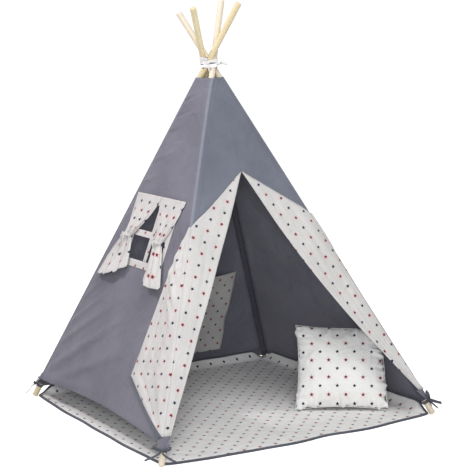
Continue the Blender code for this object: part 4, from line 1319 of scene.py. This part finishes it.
def crinkle(point):
    """Short creases that run in from the seam and the corners."""
    across, rise = point.x / (CUSHION_WIDTH / 2), point.z / (CUSHION_HEIGHT / 2)
    near = eased(min(1, max(0, (max(abs(across), abs(rise)) - 0.55) / 0.35)))
    if abs(across) > abs(rise):
        ridge = soft(across * 2.0, rise * 13.0, 1.7)
    else:
        ridge = soft(rise * 2.0, across * 13.0, 6.1)
    corner = eased(min(1, max(0, (abs(across) + abs(rise) - 1.35) / 0.5)))
    ray = soft(atan2(abs(rise), abs(across)) * 9, across * 2, rise * 2)
    return (1.9 if across > 0 else 1.1) * (0.0065 * ridge * near + 0.0095 * ray * corner)


pillow = bmesh.new()
for side in (1, -1):
    half_cover = lay(44, 44, cushion_face(side, CUSHION_SWELL * 0.75), (0.4, 0.4))
    face_outward(half_cover, Vector((0, side, 0)))
    add_shape(pillow, half_cover)
bmesh.ops.remove_doubles(pillow, verts=pillow.verts[:], dist=0.0002)
cushion = add_piece("pillow", pillow, FILLED_COTTON, "right_frame", "cushion")
inflate(cushion)
shaped = bmesh.new()
shaped.from_mesh(cushion.data)
shaped.normal_update()
moves = {vert: vert.normal * crinkle(vert.co) for vert in shaped.verts}
for vert, move in moves.items():
    vert.co += move
bmesh.ops.transform(shaped, matrix=CUSHION_PLACE, verts=shaped.verts[:])
lowest = min(vert.co.z for vert in shaped.verts)
stand = Vector((*CUSHION_MIDDLE, MAT_THICKNESS + 0.0012 - lowest))
bmesh.ops.translate(shaped, verts=shaped.verts[:], vec=stand)
for vert in shaped.verts:
    vert.co = pressed(vert.co)
shaped.to_mesh(cushion.data)
shaped.free()
cushion.data.shade_smooth()
facing_print = Matrix.Rotation(-pi / 2, 3, "X") @ CUSHION_PLACE.to_3x3().inverted()
centred = facing_print @ stand
print_shift = (0.017 - centred.x, 0.013 - centred.y)
cushion.data.materials[0] = star_cotton(
    "pillow_cotton", WHITE_FILLED, facing_print.to_euler(), print_shift, 0.5
)
folds_with(cushion, "right")

# Cushion seam
# The cover's two squares are joined by a plain seam, which stands up as a thin ridge of
# the same cotton all round.
SEAM_RADIUS = 0.0016


def seam_place(u, v):
    side = int(u * 4) % 4
    run = (u * 4) % 1
    corner_to_corner = ((run, 0.0), (1.0, run), (1 - run, 1.0), (0.0, 1 - run))
    point = cushion_face(1, 0)(*corner_to_corner[side])
    ripple = 0.0010 * soft(sin(pi * (run - 0.5)) * 9, side * 3.0, 8.0)
    middle = Vector((point.x, 0, point.z))
    out = middle.normalized() * (SEAM_RADIUS * cos(2 * pi * v))
    round_it = out + Vector((0, SEAM_RADIUS * sin(2 * pi * v) + ripple, 0))
    return pressed(CUSHION_PLACE @ (middle * 1.002 + round_it) + stand)


piping = lay(240, 8, seam_place, (1.45, 0.010))
close_ring(piping, 0.00003)
for vert in piping.verts:
    vert.co.z = max(vert.co.z, MAT_THICKNESS + 0.0008)
seam = add_piece("pillow_seam", piping, FILLED_COTTON, "right_frame")
folds_with(seam, "right")

# Crown winding
# A strip of star cotton is wound round all four poles and pulled tight. It holds them
# together and still lets them turn against each other when the frame folds.
CROWN_FLAT = (0.62, 0.0145)
CROWN_WIDTH = CROWN_FLAT[1]
CROWN_TURNS = 2.6
CROWN_CLIMB = (CROWN_WIDTH + 0.0006) * CROWN_TURNS
CROWN_SPAN = CROWN_CLIMB + CROWN_WIDTH
CROWN_BOTTOM = CROWN_HEIGHT - CROWN_SPAN / 2
CROWN_ROWS = 24
CROWN_CLEARANCE = 0.0008
FOLD_ANGLE = 20.0
RIM_POINTS = 24
CROWN = Vector((*CROWN_CENTRE, CROWN_HEIGHT))


def crown_rims(z):
    """Points round all four poles at one height, with the side frames open and folded."""
    rims = []
    for corner in FEET:
        for fold in (0, 0.5, 1):
            swing = Matrix.Rotation(radians(FOLD_ANGLE) * fold * SIDE[corner][0], 3, "Y")
            base = swing @ (pole_point(corner, 0) - CROWN)
            direction = swing @ pole_direction(corner)
            centre = base + direction * ((z - CROWN_HEIGHT - base.z) / direction.z)
            slope = direction.xy.normalized()
            beside = Vector((-slope.y, slope.x))
            for step in range(RIM_POINTS):
                turn = 2 * pi * step / RIM_POINTS
                rim = slope * (POLE_RADIUS / direction.z * cos(turn))
                rims.append(centre.xy + rim + beside * (POLE_RADIUS * sin(turn)))
    return rims


def wrapped(rims, turn, out):
    """Where a strip pulled tight round the rims lies when it faces a direction."""

    def reach(angle):
        facing = Vector((cos(angle), sin(angle)))
        return max(rim.dot(facing) for rim in rims)

    slide = (reach(turn + 0.01) - reach(turn - 0.01)) / 0.02
    facing = Vector((cos(turn), sin(turn), 0))
    outward = facing * (reach(turn) + out)
    return Vector((*CROWN_CENTRE, 0)) + outward + UP.cross(facing) * slide


crown_levels = [
    crown_rims(CROWN_BOTTOM + CROWN_SPAN * row / CROWN_ROWS) for row in range(CROWN_ROWS + 1)
]


def crown_place(u, v):
    turn = 2 * pi * CROWN_TURNS * u
    z = CROWN_BOTTOM + CROWN_CLIMB * u + CROWN_WIDTH * v
    gathers = 0.0007 * abs(soft(turn * 2.2, v * 2, 5.0))
    lengthwise = 0.0005 * (0.5 - 0.5 * cos(4 * pi * v + 0.5 * turn))
    puff = 0.0014 * sin(pi * v) ** 0.6
    rims = crown_levels[round((z - CROWN_BOTTOM) / CROWN_SPAN * CROWN_ROWS)]
    point = wrapped(rims, turn, CROWN_CLEARANCE + gathers + lengthwise + puff)
    point.z = z + 0.0022 * sin(turn + 0.9)
    return point


strip = lay(200, 8, crown_place, CROWN_FLAT)
if sum(face.normal.dot(face.calc_center_median() - CROWN) for face in strip.faces) < 0:
    bmesh.ops.reverse_faces(strip, faces=strip.faces[:])
CROWN_COTTON = star_cotton("crown_cotton", WHITE_FILLED, crinkle=0.6)
add_cloth(
    "crown_strip", strip, CROWN_COTTON, "crown", "crown_winding",
    thickness=TAIL_THICKNESS,
)

# Crown knot
# The strip's two ends are tied in a flat knot on its right side, and stand off from it.
# Knot and ends are the strip's own star cotton.
KNOT_TURN = radians(-38.0)
KNOT_FACING = Vector((cos(KNOT_TURN), sin(KNOT_TURN), 0))
KNOT_BESIDE = UP.cross(KNOT_FACING)
KNOT_SIZE = (0.015, 0.020, 0.018)
KNOT_COTTON = star_cotton("knot_cotton", WHITE_FILLED, (pi / 2, 0, 0.6), (0.021, 0.012), 0.6)
knot_seat = wrapped(crown_rims(CROWN_HEIGHT), KNOT_TURN, CROWN_CLEARANCE + 0.002)
knot_middle = knot_seat + UP * CROWN_HEIGHT + KNOT_FACING * (KNOT_SIZE[0] / 2 + GAP)
knot = bmesh.new()
bmesh.ops.create_uvsphere(knot, u_segments=40, v_segments=28, radius=0.5, calc_uvs=False)
for vert in knot.verts:
    wrap = sin(9 * atan2(vert.co.z, vert.co.y) + 8 * vert.co.x)
    vert.co *= 0.97 + 0.05 * wrap + 0.10 * noise.noise(vert.co * 3.5)
knot_frame = Matrix((KNOT_FACING, KNOT_BESIDE, UP)).transposed().to_4x4()
stand = Matrix.Translation(knot_middle) @ knot_frame @ Matrix.Diagonal((*KNOT_SIZE, 1))
bmesh.ops.transform(knot, matrix=stand, verts=knot.verts[:])
piece = add_piece("strip_knot", knot, KNOT_COTTON, "crown", "crown_knot")
for name, sideways, lift, wide in (("upper", -0.35, 0.62, KNOT_BESIDE), ("lower", 0.45, 0.05, UP)):
    reach = (KNOT_FACING + KNOT_BESIDE * sideways + UP * lift).normalized()
    points = [
        knot_middle + reach * (0.036 * share) - UP * (0.008 * share**2)
        for share in (0.1, 0.35, 0.65, 1.0)
    ]
    tape = ribbon(points, wide, 0.0115)
    for vert in tape.verts:
        vert.co += KNOT_BESIDE * (0.0012 * noise.noise(vert.co * 120))
    tail = add_piece(f"strip_end_{name}", tape, CROWN_COTTON, "crown")
    thicken(tail, TAIL_THICKNESS, 0.0)

# Foot ties
# At each foot a grey tape goes round the pole and is tied in a bow. It is sewn to the
# mat's corner and holds the corner to the pole.
FOOT_FLAT = (0.080, 0.011)
FOOT_TAPE_THICKNESS = 0.0013
FOOT_TIE_HEIGHT = 0.046
BOW_LOOP = 0.036
BOW_BULGE = 0.011
BOW_LAYER = 0.0024
TAIL_REACH = 0.062
TAIL_DROP = -0.042


def bow_points(limp):
    """The tape's middle as (sideways, up the pole, off the pole): tail, two loops, tail.

    A limp bow has drooping loops, and tails that hang close together.
    """
    start = POLE_RADIUS + GAP + 0.0032
    points = []
    for share in (1, 0.6, 0.25):
        sideways = -TAIL_REACH * share**1.3 * (1 - 0.65 * limp)
        points.append((sideways, TAIL_DROP * share**0.8, start + 0.02 * limp * share))
    points.append((0, 0, start))
    for side, base in ((1, start), (-1, start + BOW_LAYER)):
        for along, rise, off in ((0.5, 0, 0), (0.95, 0.2, 0.3), (0.85, 0.3, 0.95), (0.4, 0.1, 0.7)):
            sideways = side * BOW_LOOP * along * (1 - 0.3 * limp)
            up = BOW_LOOP * (rise + limp * 0.55 * along)
            points.append((sideways, up, base + BOW_BULGE * off))
        points.append((0, 0, base + BOW_LAYER))
    for share in (0.25, 0.6, 1):
        sideways = TAIL_REACH * share**1.5 * (1 - 0.5 * limp)
        off = start + 2 * BOW_LAYER + 0.006 * min(1, 3 * share) + 0.02 * limp * share
        points.append((sideways, TAIL_DROP * share**0.8, off))
    return points


for corner in FEET:

    def place(u, v):
        radius = POLE_RADIUS + GAP + 0.0004 * sin(pi * v)
        return beside_pole(corner, FOOT_TIE_HEIGHT + FOOT_FLAT[1] * v, 2 * pi * u, radius)

    band = lay(36, 5, place, FOOT_FLAT)
    close_ring(band)
    add_cloth(
        f"foot_band_{corner}", band, TAPE_GREY, BODY[corner], f"foot_tie_{corner}",
        thickness=FOOT_TAPE_THICKNESS,
    )

    direction = pole_direction(corner)
    outward = Vector((*SIDE[corner], 0)).normalized()
    facing = (outward - direction * outward.dot(direction)).normalized()
    beside = direction.cross(facing).normalized()
    middle = pole_point(corner, FOOT_TIE_HEIGHT + FOOT_FLAT[1] / 2)
    limp = 1.0 if corner == "front_right" else 0.0
    path = [middle + beside * s + direction * d + facing * f for s, d, f in bow_points(limp)]
    tape = ribbon(path, direction, 0.0075 + 0.0045 * limp, 7)
    add_cloth(
        f"foot_ribbon_{corner}", tape, TAPE_GREY, BODY[corner], f"foot_bow_{corner}",
        thickness=FOOT_TAPE_THICKNESS, offset=0.0,
    )

# Studio
# A plain pale floor, a soft lamp on each side and one above, and the camera of the
# photograph, which stands about 6.5 m away and looks slightly down.
CAMERA_PLACE = (-3.129, -5.395, 1.786)
CAMERA_TURN = radians(30.82)
CAMERA_DIP = radians(9.67)
CAMERA_ROLL = radians(-1.24)
CAMERA_LENS = 118.03
FLOOR_GREY = 0.80
FLOOR_DEPTH = 0.0008
FLOOR_REACH = 40
SKY = 0.335


def reflected(tree):
    """Above 0 for a ray that comes off gloss or through glass."""
    rays = add_node(tree, "LightPath", {})
    seen = rays
    for output in ("Is Glossy Ray", "Is Transmission Ray"):
        seen = calc(tree, "MAXIMUM", seen, rays.node.outputs[output])
    return seen


floor_shape = bmesh.new()
bmesh.ops.create_grid(floor_shape, x_segments=2, y_segments=2, size=FLOOR_REACH)
floor = put("floor", as_mesh("floor", floor_shape))
floor.data.transform(Matrix.Translation((0, 0, -FLOOR_DEPTH)))
floor_finish, tree = blank_finish("pale_floor")
tree.nodes.remove(tree.nodes["Principled BSDF"])
paint = add_node(tree, "BsdfDiffuse", {"Color": (FLOOR_GREY, FLOOR_GREY, FLOOR_GREY, 1)})
strength = calc(tree, "MULTIPLY", reflected(tree), FLOOR_GREY)
glow = add_node(tree, "Emission", {"Color": (1, 1, 1, 1), "Strength": strength})
both = add_node(tree, "AddShader", {0: paint, 1: glow})
feed(tree, tree.nodes["Material Output"], {"Surface": both})
floor.data.materials.append(floor_finish)

world = bpy.data.worlds.new("studio")
bpy.context.scene.world = world
world.use_nodes = True
tree = world.node_tree
strength = calc(tree, "ADD", SKY, calc(tree, "MULTIPLY", reflected(tree), 1 - SKY))
feed(tree, tree.nodes["Background"], {"Color": (1, 1, 1, 1), "Strength": strength})

for name, place, aim, size, power, tint in (
    ("lamp_left", (-1.8, 1.2, 3.4), (-0.3, 0, 0.9), 0.5, 54, (1.0, 0.93, 0.96)),
    ("lamp_front", (-2.9, -4.8, 1.9), (0.2, 0, 0.2), 1.3, 117, (0.97, 1.0, 1.0)),
    ("lamp_top", (-0.3, -2.4, 4.5), (0.2, -0.4, 0), 2.4, 98, (1.0, 1.0, 1.0)),
):
    light = bpy.data.lights.new(name, "AREA")
    light.color = tint
    light.shape = "DISK"
    light.size = size
    light.energy = power
    lamp = put(name, light)
    lamp.location = place
    lamp.rotation_euler = (Vector(aim) - Vector(place)).to_track_quat("-Z", "Y").to_euler()

lens = bpy.data.cameras.new("camera")
lens.lens = CAMERA_LENS
lens.sensor_width = 36
camera = put("camera", lens)
look = Vector(
    (sin(CAMERA_TURN) * cos(CAMERA_DIP), cos(CAMERA_TURN) * cos(CAMERA_DIP), -sin(CAMERA_DIP))
)
right = look.cross(UP).normalized()
up = right.cross(look)
rolled_right = right * cos(CAMERA_ROLL) + up * sin(CAMERA_ROLL)
rolled_up = up * cos(CAMERA_ROLL) - right * sin(CAMERA_ROLL)
facing = Matrix((rolled_right, rolled_up, -look)).transposed().to_4x4()
camera.matrix_world = Matrix.Translation(CAMERA_PLACE) @ facing
bpy.context.scene.camera = camera
bpy.context.scene.view_settings.view_transform = "Standard"
